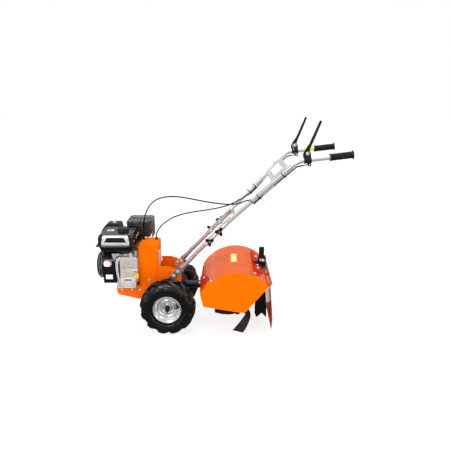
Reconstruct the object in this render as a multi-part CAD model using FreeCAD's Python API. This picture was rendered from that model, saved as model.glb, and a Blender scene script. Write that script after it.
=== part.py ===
import FreeCAD, Part
import math
import os

# Rear-tine rotary tiller, walk-behind, two driven wheels.
# Working frame while modelling (mm): X = 0 on the wheel axle, +X towards the
# handlebar end, +Y the machine's right-hand side, Z = 0 on the ground.
# Every node is moved at the end so that the row's origin is the centre of the
# bounding box's base.

V = FreeCAD.Vector
OX, OY, OZ = 0.0, 0.0, 0.0            # set once all shapes exist

# ---------------------------------------------------------------- dimensions
TYRE_R = 165.0          # 5.00-6 lug tyre
TYRE_W = 124.0
TRACK = 390.0           # between the wheels' centre planes
AXLE_Z = TYRE_R
AXLE_R = 12.5
RIM_FLANGE_R = 87.0
BEAD_R = 76.0

PLATE_Y = 100.0         # gearbox plates, outer faces
SHEET = 2.5

HOOD_X, HOOD_Z = 411.0, 153.6
HOOD_R = 244.0
HOOD_W = 537.0
HOOD_A0 = 42.5          # rear edge of the hood's sheet, degrees above +X
HOOD_A1 = 152.6         # front edge

ROT_X, ROT_Z = 411.0, 155.0
ROT_R = 149.0           # tine tip circle

TUBE_R = 12.5
TUBE_T = 2.0
HANDLE_SLOPE = 1.035
GRIP_Y0, GRIP_Y1 = 226.0, 229.0

ENG_BASE_Z = 256.0
CRANK_Z = 362.0

# ------------------------------------------------------------------- helpers


def box(x0, x1, y0, y1, z0, z1):
    return Part.makeBox(x1 - x0, y1 - y0, z1 - z0, V(x0, y0, z0))


def cyl_y(x, z, r, y0, y1):
    return Part.makeCylinder(r, y1 - y0, V(x, y0, z), V(0, 1, 0))


def cyl_x(y, z, r, x0, x1):
    return Part.makeCylinder(r, x1 - x0, V(x0, y, z), V(1, 0, 0))


def cyl_z(x, y, r, z0, z1):
    return Part.makeCylinder(r, z1 - z0, V(x, y, z0), V(0, 0, 1))


def cyl(p, q, r):
    d = q - p
    return Part.makeCylinder(r, d.Length, p, d)


def rounded(pts, radii):
    """Closed wire through pts with its corners rounded; radii per corner."""
    n = len(pts)
    if not isinstance(radii, (list, tuple)):
        radii = [radii] * n
    ends = []
    for i in range(n):
        p, a, b = pts[i], pts[i - 1], pts[(i + 1) % n]
        u = (a - p)
        v = (b - p)
        lu, lv = u.Length, v.Length
        u = u * (1.0 / lu)
        v = v * (1.0 / lv)
        ang = u.getAngle(v)
        r = radii[i]
        if r <= 0 or abs(ang - math.pi) < 1e-3:
            ends.append((p, None, p))
            continue
        t = r / math.tan(ang / 2)
        t = min(t, 0.48 * lu, 0.48 * lv)
        r = t * math.tan(ang / 2)
        bis = (u + v)
        bis = bis * (1.0 / bis.Length)
        c = p + bis * (r / math.sin(ang / 2))
        m = c - bis * r
        ends.append((p + u * t, m, p + v * t))
    edges = []
    for i in range(n):
        a = ends[i]
        b = ends[(i + 1) % n]
        if a[1] is not None:
            edges.append(Part.Arc(a[0], a[1], a[2]).toShape())
        if (b[0] - a[2]).Length > 1e-6:
            edges.append(Part.LineSegment(a[2], b[0]).toShape())
    return Part.Wire(edges)


def plate_xz(pts, y0, y1, r=0.0):
    w = rounded([V(x, y0, z) for x, z in pts], r)
    return Part.Face(w).extrude(V(0, y1 - y0, 0))


def plate_yz(pts, x0, x1, r=0.0):
    w = rounded([V(x0, y, z) for y, z in pts], r)
    return Part.Face(w).extrude(V(x1 - x0, 0, 0))


def plate_xy(pts, z0, z1, r=0.0):
    w = rounded([V(x, y, z0) for x, y in pts], r)
    return Part.Face(w).extrude(V(0, 0, z1 - z0))


def rev_y(profile, x, z, r=0.0):
    """Revolve a closed (radius, y) profile about the Y-parallel axis."""
    w = rounded([V(x + a, y, z) for a, y in profile], r)
    return Part.Face(w).revolve(V(x, 0, z), V(0, 1, 0), 360)


def rev_x(profile, y, z, r=0.0):
    """Revolve a closed (x, radius) profile about the X-parallel axis."""
    w = rounded([V(x, y, z + a) for x, a in profile], r)
    return Part.Face(w).revolve(V(0, y, z), V(1, 0, 0), 360)


def fuse(*shapes):
    s = shapes[0]
    if len(shapes) > 1:
        s = s.multiFuse(list(shapes[1:]))
    return s.removeSplitter()


def mirror_y(s):
    return s.mirror(V(0, 0, 0), V(0, 1, 0))


def path_wire(pts, radii):
    """Open wire of straight runs and tangent arcs."""
    n = len(pts)
    if not isinstance(radii, (list, tuple)):
        radii = [radii] * n
    edges = []
    last = pts[0]
    for i in range(1, n - 1):
        p, a, b = pts[i], pts[i - 1], pts[i + 1]
        u = (a - p)
        v = (b - p)
        lu, lv = u.Length, v.Length
        u = u * (1.0 / lu)
        v = v * (1.0 / lv)
        ang = u.getAngle(v)
        r = radii[i]
        if r <= 0 or abs(ang - math.pi) < 1e-3:
            edges.append(Part.LineSegment(last, p).toShape())
            last = p
            continue
        t = r / math.tan(ang / 2)
        t = min(t, 0.48 * lu, 0.48 * lv)
        r = t * math.tan(ang / 2)
        bis = (u + v)
        bis = bis * (1.0 / bis.Length)
        c = p + bis * (r / math.sin(ang / 2))
        m = c - bis * r
        s = p + u * t
        e = p + v * t
        edges.append(Part.LineSegment(last, s).toShape())
        edges.append(Part.Arc(s, m, e).toShape())
        last = e
    edges.append(Part.LineSegment(last, pts[-1]).toShape())
    return Part.Wire(edges)


def sweep(pts, radii, r):
    w = path_wire(pts, radii)
    d = pts[1] - pts[0]
    c = Part.Wire(Part.makeCircle(r, pts[0], d))
    return w.makePipeShell([c], True, False)


def cable(name, pts, r):
    """Cable tube: each arc is as large as its two runs allow."""
    n = len(pts)
    radii = [0.0] * n
    for i in range(1, n - 1):
        a = (pts[i - 1] - pts[i])
        b = (pts[i + 1] - pts[i])
        turn = math.pi - a.getAngle(b)
        short = min(a.Length, b.Length)
        radii[i] = 0.45 * short / math.tan(turn / 2) if turn > 1e-3 else 0.0
    s = sweep(pts, radii, r)
    length = path_wire(pts, radii).Length
    print(name, "length %.0f" % length, "radii",
          [round(x) for x in radii[1:-1]],
          "volume ratio %.4f" % (s.Volume / (math.pi * r * r * length)))
    return s


def handle_z(x):
    return 549.0 + (x - 249.0) * HANDLE_SLOPE


NODES = {}


def add(name, shape):
    solids = shape.Solids
    if not shape.isValid() or not solids:
        print("WARNING", name, "invalid or empty")
    NODES[name] = shape


# --------------------------------------------------------------------- wheels
def wheel(side):
    s = side
    yc = s * TRACK / 2
    h = TYRE_W / 2
    # tyre: thick carcass, open at the beads
    out = [(BEAD_R, -44.4), (88.5, -46.5), (100, -57), (122, -h), (146, -58),
           (160, -46), (TYRE_R, -26), (TYRE_R, 26), (160, 46), (146, 58),
           (122, h), (100, 57), (88.5, 46.5), (BEAD_R, 44.4),
           (BEAD_R, 34), (92, 36), (106, 45), (124, 50), (140, 46),
           (150, 24), (150, -24), (140, -46), (124, -50), (106, -45),
           (92, -36), (BEAD_R, -34)]
    rr = [1, 3, 6, 14, 10, 8, 6, 6, 8, 10, 14, 6, 3, 1, 1, 3, 6, 12, 8, 8, 8, 8, 12, 6, 3, 1]
    tyre = rev_y([(a, yc + b) for a, b in out], 0, AXLE_Z, rr)
    # rim: rolled flanges, drop centre, dished disc, hub tube
    # y is outboard positive here, mirrored for the left side
    rim = rev_y([(a, yc + s * b) for a, b in [
        (87.0, 50.2), (84.0, 49.2), (80.0, 47.6), (75.7, 45.0), (75.7, 33.0), (66.0, 23.0),
        (66.0, -23.0), (75.7, -33.0), (75.7, -45.0), (80.0, -47.6), (84.0, -49.2), (87.0, -50.2),
        (87.0, -53.0), (83.0, -52.2), (78.0, -50.4), (72.7, -47.0), (72.7, -34.2), (63.0, -24.4),
        (63.0, 24.4), (72.7, 34.2), (72.7, 47.0), (78.0, 50.4), (83.0, 52.2), (87.0, 53.0)]],
        0, AXLE_Z, 0)
    disc = rev_y([(a, yc + s * b) for a, b in [
        (64.5, 6.0), (56.0, 8.0), (50.0, 16.0), (44.0, 19.0), (36.0, 19.0), (30.0, 16.0), (19.0, 16.0),
        (19.0, 12.5), (31.0, 12.5), (37.0, 15.5), (43.0, 15.5), (48.5, 12.5), (54.5, 4.5), (64.5, 2.5)]],
        0, AXLE_Z, 0)
    hub = rev_y([(a, yc + s * b) for a, b in [
        (AXLE_R + 0.05, -55.0), (19.5, -55.0), (19.5, 24.0), (AXLE_R + 0.05, 24.0)]],
        0, AXLE_Z, 0)
    valve = cyl(V(52, yc + s * 12, AXLE_Z + 8), V(58, yc + s * 44, AXLE_Z + 9), 4.0)
    rim = fuse(rim, disc, hub, valve)
    return tyre, rim


for side, nm in ((-1, "left"), (1, "right")):
    t, r = wheel(side)
    add("tyre_" + nm, t)
    add("rim_" + nm, r)

# axle: one shaft through the gearbox, washers and bolts inside the hub's mouth
axle = cyl_y(0, AXLE_Z, AXLE_R, -216, 216)
axle = fuse(axle, cyl_y(0, AXLE_Z, 17.5, 134.5, 139.0), cyl_y(0, AXLE_Z, 17.5, -139.0, -134.5))
add("axle_shaft", axle)

# -------------------------------------------------------------------- gearbox
gb = fuse(
    plate_xz([(-80, 126), (80, 126), (92, 150), (92, 262), (60, 300), (-58, 300), (-58, 240), (-80, 226), (-80, 150)],
             -62, 62, [14, 14, 14, 14, 14, 8, 8, 6, 14]),
    cyl_y(0, AXLE_Z, 34, -100, 100),
    cyl_y(0, AXLE_Z, 24, -132, 132),
)
gb = gb.cut(cyl_y(0, AXLE_Z, AXLE_R, -140, 140))
add("gearbox_case", gb)

gp = [(-64, 381), (-4, 381), (22, 371), (75, 345), (75, 279), (58, 262), (58, 236), (-64, 236)]
pl = plate_xz(gp, -PLATE_Y, -PLATE_Y + 4, [0, 8, 8, 10, 10, 4, 4, 0])
pl = pl.cut(cyl_y(6, 344, 4.5, -110, -80))
pl = pl.fuse(box(-50, 50, -PLATE_Y + 4, -62, 250, 256)).removeSplitter()
add("gearbox_plate_left", pl)
add("gearbox_plate_right", mirror_y(pl))

# drive tube from the gearbox to the tine case
dt = cyl_x(0, 228.5, 24.5, 92, 340)
dt = dt.cut(cyl_x(0, 228.5, 20.0, 80, 350))
dt = fuse(dt, cyl_x(0, 228.5, 33, 92, 104).cut(cyl_x(0, 228.5, 20.0, 80, 350)))
add("drive_tube", dt)

# ---------------------------------------------------------------- engine base
bp = [(-320, 252), (-320, 220), (-311, 200), (-190, 170), (-120, 170), (-70, 182), (-70, 235.8), (-90, 252)]
side_l = plate_xz(bp, -97, -93, [2, 14, 14, 14, 30, 10, 0, 0])
for hx in (-291, -230, -181):
    side_l = side_l.cut(cyl_y(hx, 229, 4.5, -110, -80))
side_r = mirror_y(side_l)
top = box(-320, -90, -97, 97, 248, 252)
base = fuse(side_l, side_r, top, box(-94, -90, -97, 97, 182, 252))
add("engine_base", base)

# ---------------------------------------------------------------- belt guard
bgo = plate_xz([(-182, 252), (-182, 503), (-176, 509), (-71, 509), (-65, 503), (-65, 252)], -80, 80, [0, 4, 4, 4, 4, 0])
bgi = plate_xz([(-180, 240), (-180, 502), (-175, 507), (-72, 507), (-67, 502), (-67, 240)], -78, 78, 0)
bg = bgo.cut(bgi)
bg_all = bg
for gx in (-166, -88):
    bg_all = bg_all.fuse(cyl_z(gx, 45, 7.0, 508.5, 515))
add("belt_guard", bg_all)

# --------------------------------------------------------------------- engine
cc = fuse(
    plate_yz([(-106, 291), (-110, 300), (-110, 425), (-98, 437), (40, 437), (40, 291)], -310, -184, [0, 4, 10, 8, 0, 0]),
    box(-310, -198, -118, 60, 256, 291),
)
add("crankcase", cc)
cylh = plate_yz([(40, 330), (40, 462), (168, 496), (184, 400), (120, 345)], -292, -188, 6)
add("cylinder_head", cylh)
fan = plate_yz([(-108, 284), (-108, 420), (-70, 460), (60, 460), (98, 420), (98, 300), (70, 272), (-94, 272)],
               -392, -310, [20, 36, 36, 36, 36, 30, 30, 16])
add("fan_housing", fan)
rec = rev_x([(-392, 0), (-392, 84), (-422, 83), (-436, 75), (-443, 52), (-443, 0)], -5, 365, [0, 0, 10, 12, 12, 0])
add("recoil_starter", rec)


def tank_half(zs, xs0, xs1, ys0, ys1, grow):
    """Common of two profiles, so that the sides draw in towards zs's ends."""
    px = [(xs0[0] - grow, zs[0]), (xs0[1] - grow, zs[1]), (xs0[2] - grow, zs[2] + grow),
          (xs1[2] + grow, zs[2] + grow), (xs1[1] + grow, zs[1]), (xs1[0] + grow, zs[0])]
    py = [(ys0[0] - grow, zs[0]), (ys0[1] - grow, zs[1]), (ys0[2] - grow, zs[2] + grow),
          (ys1[2] + grow, zs[2] + grow), (ys1[1] + grow, zs[1]), (ys1[0] + grow, zs[0])]
    return plate_xz(px, -200, 200, 0).common(plate_yz(py, -450, -150, 0))


T_UP = ((521, 574, 586), (-405, -404, -398), (-198, -199, -207), (-141, -137, -127), (73, 68, 58))
tank = fuse(
    tank_half(*T_UP, 0.0),
    tank_half((521, 494, 481), (-402, -393, -383), (-206, -209, -220), (-139, -133, -123), (71, 64, 54), 0.0),
    plate_xy([(-416, -150), (-191, -150), (-191, 81), (-416, 81)], 519.5, 522.5, 14),
)
hollow = fuse(
    plate_xz([(-402, 520), (-401, 573), (-395, 583), (-210, 583), (-202, 573), (-201, 520)], -138, 78, 0).common(
        plate_yz([(-138, 520), (-134, 573), (-126, 584), (56, 584), (65, 573), (70, 520)], -450, -150, 0)),
    plate_xz([(-399, 522), (-390, 495), (-382, 483), (-221, 483), (-211, 495), (-209, 522)], -138, 78, 0).common(
        plate_yz([(-136, 522), (-130, 495), (-122, 483), (52, 483), (61, 495), (68, 522)], -450, -150, 0)),
)
tank = tank.cut(hollow).cut(cyl_z(-276, -28, 20, 575, 600))
add("fuel_tank", tank)
cap = fuse(cyl_z(-276, -28, 32, 586, 606), cyl_z(-276, -28, 19.8, 578, 586))
add("fuel_cap", cap)

ac = plate_xz([(-438, 500), (-441, 546), (-407, 590), (-326, 590), (-318, 556), (-318, 500)], 92, 190, [5, 10, 8, 7, 10, 5])
add("air_cleaner", ac)
carb = box(-345, -292, 110, 172, 440, 499.5)
add("carburettor", carb)

mfo = plate_yz([(94, 525), (94, 604), (226, 604), (226, 525)], -262, -138, 22)
mfi = plate_yz([(96, 527), (96, 602), (224, 602), (224, 527)], -260, -140, 20)
muf = mfo.cut(mfi).cut(cyl_x(160, 585, 9, -142, -130))
add("muffler", muf)
go = plate_yz([(84, 499), (84, 619), (238, 619), (238, 499)], -279, -120, [0, 12, 12, 0])
gi = plate_yz([(85.2, 490), (85.2, 617.8), (236.8, 617.8), (236.8, 490)], -277.8, -121.2, [0, 10.8, 10.8, 0])
add("muffler_guard", go.cut(gi))

oc = fuse(cyl_y(-190, 331, 13, -137, -124), cyl_y(-190, 331, 8, -124, -110))
add("oil_filler_cap", oc)

# ------------------------------------------------------------------ tine case
tc = fuse(
    cyl_y(ROT_X, ROT_Z, 62, -30, 30),
    plate_xz([(350, 190), (342, 262), (430, 262), (470, 190)], -30, 30, 8),
    cyl_x(0, 228.5, 34, 340, 352),
    cyl_y(ROT_X, ROT_Z, 34, -44, 44),
)
tc = tc.cut(cyl_y(ROT_X, ROT_Z, 20.05, -60, 60))
add("tine_case", tc)

# rotor: through shaft, four flanges, eight curved tines
sh = cyl_y(ROT_X, ROT_Z, 20.0, -245, 245)
add("rotor_shaft", sh)
fl = []
FL_Y = (-196.0, -92.0, 92.0, 196.0)
for fy in FL_Y:
    ear = plate_xz([(ROT_X + x, ROT_Z + z) for x, z in [(50, 16), (50, -6), (26, -22), (-50, -16), (-50, 6), (-26, 22)]],
                   fy - 4, fy + 4, [8, 8, 10, 8, 8, 10])
    f = cyl_y(ROT_X, ROT_Z, 26, fy - 4, fy + 4).fuse(ear)
    if abs(fy) < 150:
        f.rotate(V(ROT_X, 0, ROT_Z), V(0, 1, 0), 79)
    f = f.cut(cyl_y(ROT_X, ROT_Z, 20.0, fy - 6, fy + 6)).removeSplitter()
    fl.append(f)
add("rotor_flanges", Part.makeCompound(fl))

shank = [(22, 16), (44, 18), (62, 4), (76, -23), (81, -50), (73, -80), (60, -106), (48, -124), (-8, -112), (14, -88), (32, -61), (45, -36), (22, -20)]
tip = [(60, -106), (50, -126), (36, -144.4), (-26, -133), (-24, -118), (-8, -112)]


def tine(fy, side, bend):
    """One sickle tine bolted to the side of a flange; bend = +1/-1 in Y."""
    y0 = fy + side * 4
    y1 = fy + side * 12
    a, b = min(y0, y1), max(y0, y1)
    s = plate_xz([(ROT_X + x, ROT_Z + z) for x, z in shank], a, b, [4, 10, 12, 14, 20, 20, 0, 0, 0, 14, 20, 14, 6])
    t = plate_xz([(ROT_X + x, ROT_Z + z) for x, z in tip], a if bend > 0 else a - 30,
                 b + 30 if bend > 0 else b, [0, 6, 2, 2, 4, 0])
    return s.fuse(t).removeSplitter()


def turned(s, deg):
    s = s.copy()
    s.rotate(V(ROT_X, 0, ROT_Z), V(0, 1, 0), deg)
    return s


for nm, ys in (("left", (-196.0, -92.0)), ("right", (92.0, 196.0))):
    ts = []
    for fy in ys:
        for k in ((0, 2) if abs(fy) > 150 else (1, 3)):
            outboard = -1 if fy < 0 else 1
            side = -outboard if k == 3 else outboard
            ts.append(turned(tine(fy, side, side), 90 * k - (0 if abs(fy) > 150 else 11)))
    add("tines_" + nm, Part.makeCompound(ts))

# ----------------------------------------------------------------------- hood
hw = HOOD_W / 2


def arc_sector(r0, r1, a0, a1, y0, y1):
    def p(r, a):
        return V(HOOD_X + r * math.cos(math.radians(a)), y0, HOOD_Z + r * math.sin(math.radians(a)))
    am = (a0 + a1) / 2
    w = Part.Wire([
        Part.Arc(p(r1, a0), p(r1, am), p(r1, a1)).toShape(),
        Part.LineSegment(p(r1, a1), p(r0, a1)).toShape(),
        Part.Arc(p(r0, a1), p(r0, am), p(r0, a0)).toShape(),
        Part.LineSegment(p(r0, a0), p(r1, a0)).toShape(),
    ])
    return Part.Face(w).extrude(V(0, y1 - y0, 0))


hood = arc_sector(HOOD_R - SHEET, HOOD_R, HOOD_A0, HOOD_A1, -hw + SHEET, hw - SHEET)
front = plate_xz([(194.4, 266), (213, 196), (215.4, 196.6), (196.8, 266.6)], -hw + SHEET, hw - SHEET, 0)
hood = fuse(hood, front)
hood = hood.cut(box(538, 586, -14, 14, 320, 370))
hood = hood.cut(cyl_x(0, 228.5, 24.5, 180, 260))
add("hood_shell", hood)

A0 = math.radians(HOOD_A0)
A1 = math.radians(HOOD_A1)
P0 = (HOOD_X + HOOD_R * math.cos(A0), HOOD_Z + HOOD_R * math.sin(A0))
P1 = (HOOD_X + HOOD_R * math.cos(A1), HOOD_Z + HOOD_R * math.sin(A1))


def hood_side(y0, y1):
    def v(x, z):
        return V(x, y0, z)
    arc = Part.Arc(v(*P0), v(HOOD_X, HOOD_Z + HOOD_R), v(*P1)).toShape()
    lo = [P1, (213, 194), (441, 154), (469, 173), P0]
    e = [arc]
    e.append(Part.LineSegment(v(*P1), v(213, 194)).toShape())
    e.append(Part.LineSegment(v(213, 194), v(428, 156.3)).toShape())
    e.append(Part.Arc(v(428, 156.3), v(452, 158.5), v(471, 174.5)).toShape())
    e.append(Part.LineSegment(v(471, 174.5), v(*P0)).toShape())
    return Part.Face(Part.Wire(e)).extrude(V(0, y1 - y0, 0))


hs = hood_side(-hw, -hw + SHEET)
add("hood_side_left", hs)
add("hood_side_right", mirror_y(hs))

# front saddle: bent plate over the hood's front edge with a flange for the drive tube
HR = HOOD_R + 0.0
sad = arc_sector(HR, HR + 4, 128, 152.6, -206, 206)
sad = sad.common(plate_xy([(150, -206), (238, -206), (242, -175), (231, -105), (205, -28), (198, 28), (196, 206), (150, 206)],
                          200, 420, [0, 5, 10, 40, 20, 20, 5, 0]))
trim_l = plate_xz([(150, 230), (150, 300), (206, 300)], -210, 210, 0)
flange = box(184, 190, -52, 52, 186, 262)
web = []
for wy in (-46, 42):
    w = plate_xz([(190, 262), (190, 292), (196, 300), (214, 306), (206, 262)], wy, wy + 4, 0)
    web.append(w.cut(arc_sector(1, HR, 60, 200, wy - 1, wy + 5)))
neck = box(188, 196, -52, 52, 240, 262).cut(arc_sector(1, HR, 60, 200, -60, 60))
neck = neck.cut(plate_xz([(194.4, 266), (213, 196), (260, 196), (260, 266)], -60, 60, 0))
hfb = fuse(sad, flange, neck, plate_xz([(190, 250), (190, 268), (196, 272), (198.4, 266), (194.4, 264.5)], -52, 52, 0))
hfb = hfb.cut(arc_sector(1, HR, 60, 200, -210, 210)).cut(plate_xz([(194.3, 266.3), (213, 195.7), (300, 196), (300, 266)], -210, 210, 0))
hfb = hfb.cut(cyl_x(0, 228.5, 24.5, 160, 260))
add("hood_front_bracket", hfb)

# depth stake support: sheet-metal bridge across the hood, slanted plate, clamp sleeve


def on_hood(deg, r):
    a = math.radians(deg)
    return HOOD_X + r * math.cos(a), HOOD_Z + r * math.sin(a)


bridge = arc_sector(HR, HR + 16, 51, 67, -225, 225)
# plan outline: wide at the middle, narrow feet
hx = [(512, -225), (536, -225), (582, -60), (582, 60), (536, 225), (512, 225), (500, 60), (500, -60)]
bridge = bridge.common(plate_xy(hx, 300, 440, 0))
# wings slope down from the middle to the feet
slope = []
for sgn in (-1, 1):
    slope.append(plate_yz([(sgn * 52, 480), (sgn * 230, 480), (sgn * 230, 340), (sgn * 222, 340), (sgn * 52, 340)], 480, 600, 0))
foot = arc_sector(HR, HR + 4, 51, 67, -225, 225).common(plate_xy(hx, 300, 440, 0))
mid = bridge.common(box(480, 620, -52, 52, 300, 440))
wings = []
for sgn in (-1, 1):
    lo = arc_sector(HR, HR + 16, 51, 67, -225, 225).common(plate_xy(hx, 300, 440, 0))
    y0, y1 = (52, 170) if sgn > 0 else (-170, -52)
    seg = lo.common(box(480, 620, y0, y1, 300, 440))
    a, b = (sgn * 52, 16.0), (sgn * 170, 4.0)
    wings.append(seg.common(arc_sector(HR, HR + 10, 51, 67, -225, 225)))
gus = fuse(foot, mid, *wings)
gus = gus.cut(box(544, 586, -12, 12, 300, 440))
add("stake_support", gus)

spl = arc_sector(HR + 16, HR + 21, 45.5, 69, -66, 50).common(
    plate_xy([(503, -54), (545, -58), (600, -62), (600, 40), (576, 46), (546, 0)], 320, 430, [4, 8, 0, 0, 8, 10]))
slv = box(544, 592, -17, 17, 334, 412)
slv = slv.cut(arc_sector(1, HR + 16, 0, 180, -60, 60))
brk = fuse(spl, slv)
brk = brk.cut(box(548.7, 581.3, -6.3, 6.3, 300, 430))
brk = brk.fuse(cyl_y(570, 379, 8, -30, -17)).removeSplitter()
add("stake_bracket", brk)

# depth stake: flat bar above, wide notched blade below
stk = fuse(
    box(549, 581, -6, 6, 140, 471),
    plate_xz([(529, 160), (529, 28), (540, 0), (573, 31), (604, 0), (603, 70), (594.5, 182), (586, 196), (543, 196)], -6, 6, 0),
)
add("depth_stake", stk)

# rear flap on a hinge rod
HX, HZ = 604.0, 326.0
rod = cyl_y(HX, HZ, 4.0, -256, 256)
lugs = []
for y in (-254, -88, 82, 248):
    lug = plate_xz([(583, 316), (589, 330), (601, 333.5), (610, 330), (611, 322), (604, 318), (592, 316)], y, y + 6, 1)
    lug = lug.cut(arc_sector(1, HOOD_R, 0, 180, y - 1, y + 7)).cut(cyl_y(HX, HZ, 4.0, y - 1, y + 7))
    lugs.append(lug)
add("flap_hinge", fuse(rod, *lugs))
FT = 2.5


def flap_face(off):
    return [(597.5 + off, 322), (613 + off, 107), (611 + off, 34)]


a, b = flap_face(0), flap_face(FT)
fo = plate_xz(a + b[::-1], -262, 262, 0)
fo = fo.common(plate_yz([(-262, 330), (-262, 107), (-234, 34), (234, 34), (262, 107), (262, 330)], 580, 640, 2))
fo = fo.cut(cyl_y(HX, HZ, 8.0, -300, 300))
kn = []
for y0, y1 in ((-246, -90), (-80, 80), (90, 246)):
    kn.append(cyl_y(HX, HZ, 8.0, y0, y1))
flap = fuse(fo, *kn)
flap = flap.cut(cyl_y(HX, HZ, 4.08, -270, 270))
for y0 in (-270, -90, 80, 246):
    y1 = {-270: -246, -90: -80, 80: 90, 246: 270}[y0]
    flap = flap.cut(box(560, 640, y0, y1, 312, 340))
add("rear_flap", flap)

# ------------------------------------------------------------------ handlebar


def low_y(x):
    return 112.5 - (x - 60) * 0.0703


HB_X = 386.0            # hoop's cross tube
LH = [V(80, -low_y(80), handle_z(80)), V(HB_X, -low_y(HB_X), handle_z(HB_X)),
      V(HB_X, low_y(HB_X), handle_z(HB_X)), V(80, low_y(80), handle_z(80))]
lho = sweep(LH, [0, 46, 46, 0], TUBE_R)
d = LH[0] - LH[1]
d = d * (1 / d.Length)
LI = [LH[0] + d * 4, LH[1], LH[2], V(LH[0].x, -LH[0].y, LH[0].z) + V(d.x, -d.y, d.z) * 4]
lhi = sweep(LI, [0, 46, 46, 0], TUBE_R - TUBE_T)
# flattened ends, bolted to the gearbox plates
du = V(1, 0, HANDLE_SLOPE)
du = du * (1 / du.Length)
dn = V(-du.z, 0, du.x)
o = V(29, 0, handle_z(29))


def fpt(s_, n_):
    p_ = o + du * s_ + dn * n_
    return (p_.x, p_.z)


FLAT = [fpt(-34, 17), fpt(-34, -17), fpt(62, -17), fpt(100, -12), fpt(100, 12), fpt(62, 17)]
ends = []
for y0, y1 in ((-107, -100), (100, 107)):
    f_ = plate_xz(FLAT, y0, y1, [8, 8, 10, 0, 0, 10])
    for s_ in (0, 37):
        bx, bz = fpt(s_, 0)
        f_ = f_.cut(cyl_y(bx, bz, 5.2, y0 - 1, y1 + 1))
    ends.append(f_)
lower = fuse(lho.cut(lhi), *ends)
add("lower_handle", lower)

U = [V(226, -(low_y(226) + 25.5), handle_z(226)),
     V(350, -(low_y(350) + 25.5), handle_z(350)),
     V(730.5, -236.0, 1029.5),
     V(1018, -228.5, 1062.8)]
UR = [0, 120, 100, 0]
uo = sweep(U, UR, TUBE_R)
d0 = U[1] - U[0]
d0 = d0 * (1 / d0.Length)
UI = [U[0] - d0 * 5, U[1], U[2], U[3] - (U[3] - U[2]) * 0.02]
ui = sweep(UI, UR, TUBE_R - TUBE_T)
uh = uo.cut(ui)
add("upper_handle_left", uh)
add("upper_handle_right", mirror_y(uh))

g0 = V(902.5, -226.5, 1051.7)
g1 = V(1030, -228.5, 1064.2)
gd = (U[3] - U[2])
gd = gd * (1 / gd.Length)
e = U[3]
gs = e - gd * 116


def grip():
    s = fuse(cyl(gs, e + gd * 12, 17), cyl(e + gd * 7, e + gd * 12.5, 23.5), cyl(gs, gs + gd * 8, 19.5))
    return s.cut(cyl(gs - gd * 5, e + gd * 0.0, TUBE_R))


gr = grip()
add("grip_left", gr)
add("grip_right", mirror_y(gr))

# star knobs with their studs
kn = []
for kx in (249.0, 306.0):
    yl = low_y(kx)
    z = handle_z(kx)
    yo = yl + 25.5 + 12.0
    pts = []
    k = cyl_y(kx, z, 15, -yo - 16, -yo)
    for j in range(3):
        a = math.radians(90 + 120 * j + 14)
        k = k.fuse(cyl_y(kx + 18.5 * math.cos(a), z + 18.5 * math.sin(a), 9.5, -yo - 15, -yo - 4))
    kn.append(k.removeSplitter())
kn = [k.cut(uo) for k in kn]
add("star_knobs_left", Part.makeCompound(kn))
add("star_knobs_right", mirror_y(Part.makeCompound(kn)))


def up_pt(x):
    """Upper tube centre line between its two bends (left side)."""
    f = (x - 350.0) / (730.5 - 350.0)
    return V(x, U[1].y + f * (U[2].y - U[1].y), U[1].z + f * (U[2].z - U[1].z))


# console plate with its two cross bars
def slab(xa, xb, off, thick, inset):
    a, b = up_pt(xa), up_pt(xb)
    d = b - a
    n = V(-d.z, 0, d.x)
    n = n * (1 / n.Length)
    pa = a + n * off
    pb = b + n * off
    pts = [V(pa.x, pa.y + inset, pa.z), V(pb.x, pb.y + inset, pb.z),
           V(pb.x, -pb.y - inset, pb.z), V(pa.x, -pa.y - inset, pa.z)]
    f = Part.Face(rounded(pts, 0))
    return f.extrude(n * thick)


def crossbar(x, w, inset):
    a = up_pt(x)
    return slab(x - w / 2, x + w / 2, -2.0, 4.0, inset)


con = fuse(slab(604, 692, 6.0, 1.6, 6), slab(604, 614, -6, 12.5, 6), slab(682, 692, -6, 12.5, 6))
con = con.cut(uo).cut(mirror_y(uo))
add("console_plate", con)

# clutch levers and their brackets (small controls, no joint)
def tube_pt(x):
    """Point on the straight grip run of the left upper tube."""
    f = (x - U[2].x) / (U[3].x - U[2].x)
    return V(x, U[2].y + f * (U[3].y - U[2].y), U[2].z + f * (U[3].z - U[2].z))


def bracket():
    c0 = tube_pt(780)
    yb = c0.y
    # clamp band round the tube, upright ears, lower leg with an eye
    ring = cyl(tube_pt(764), tube_pt(803), 17.5)
    ears = plate_xz([(762, 1046), (802, 1050), (797, 1078), (779, 1093), (764, 1083), (758, 1064)], yb - 9, yb + 9, 6)
    slot = box(740, 830, yb - 5.6, yb + 5.6, 1056, 1100)
    leg = plate_xz([(772, 1034), (799, 1034), (803, 1012), (797, 1003), (789, 1003), (784, 1012)], yb - 6, yb + 6, 3)
    b = fuse(ring, ears, leg).cut(cyl_y(795, 1010.5, 4.0, yb - 20, yb + 20)).cut(slot)
    return b.cut(uo)


bk = bracket()
add("lever_bracket_left", bk)
add("lever_bracket_right", mirror_y(bk))
yb = tube_pt(780).y
lv = plate_xz([(762, 1081), (785, 1068), (792, 1084), (801, 1114), (850, 1238), (848, 1244), (840, 1245),
               (790, 1124)], yb - 5, yb + 5, [6, 3, 6, 20, 3, 3, 3, 30])
add("clutch_lever_left", lv)
add("clutch_lever_right", mirror_y(lv))

# clutch cables, held at both ends: guard top, arch, then tied under the tubes


def under(x, side, below=16.4, inner=3.0):
    """Point below and inboard of the upper tube at x (side -1 left, +1 right)."""
    f = (x - U[1].x) / (U[2].x - U[1].x)
    p_ = V(x, U[1].y + f * (U[2].y - U[1].y), U[1].z + f * (U[2].z - U[1].z))
    n_ = V(0.7193, 0, -0.6947)
    p_ = p_ + n_ * below
    return V(p_.x, side * (abs(p_.y) - inner), p_.z)


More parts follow.
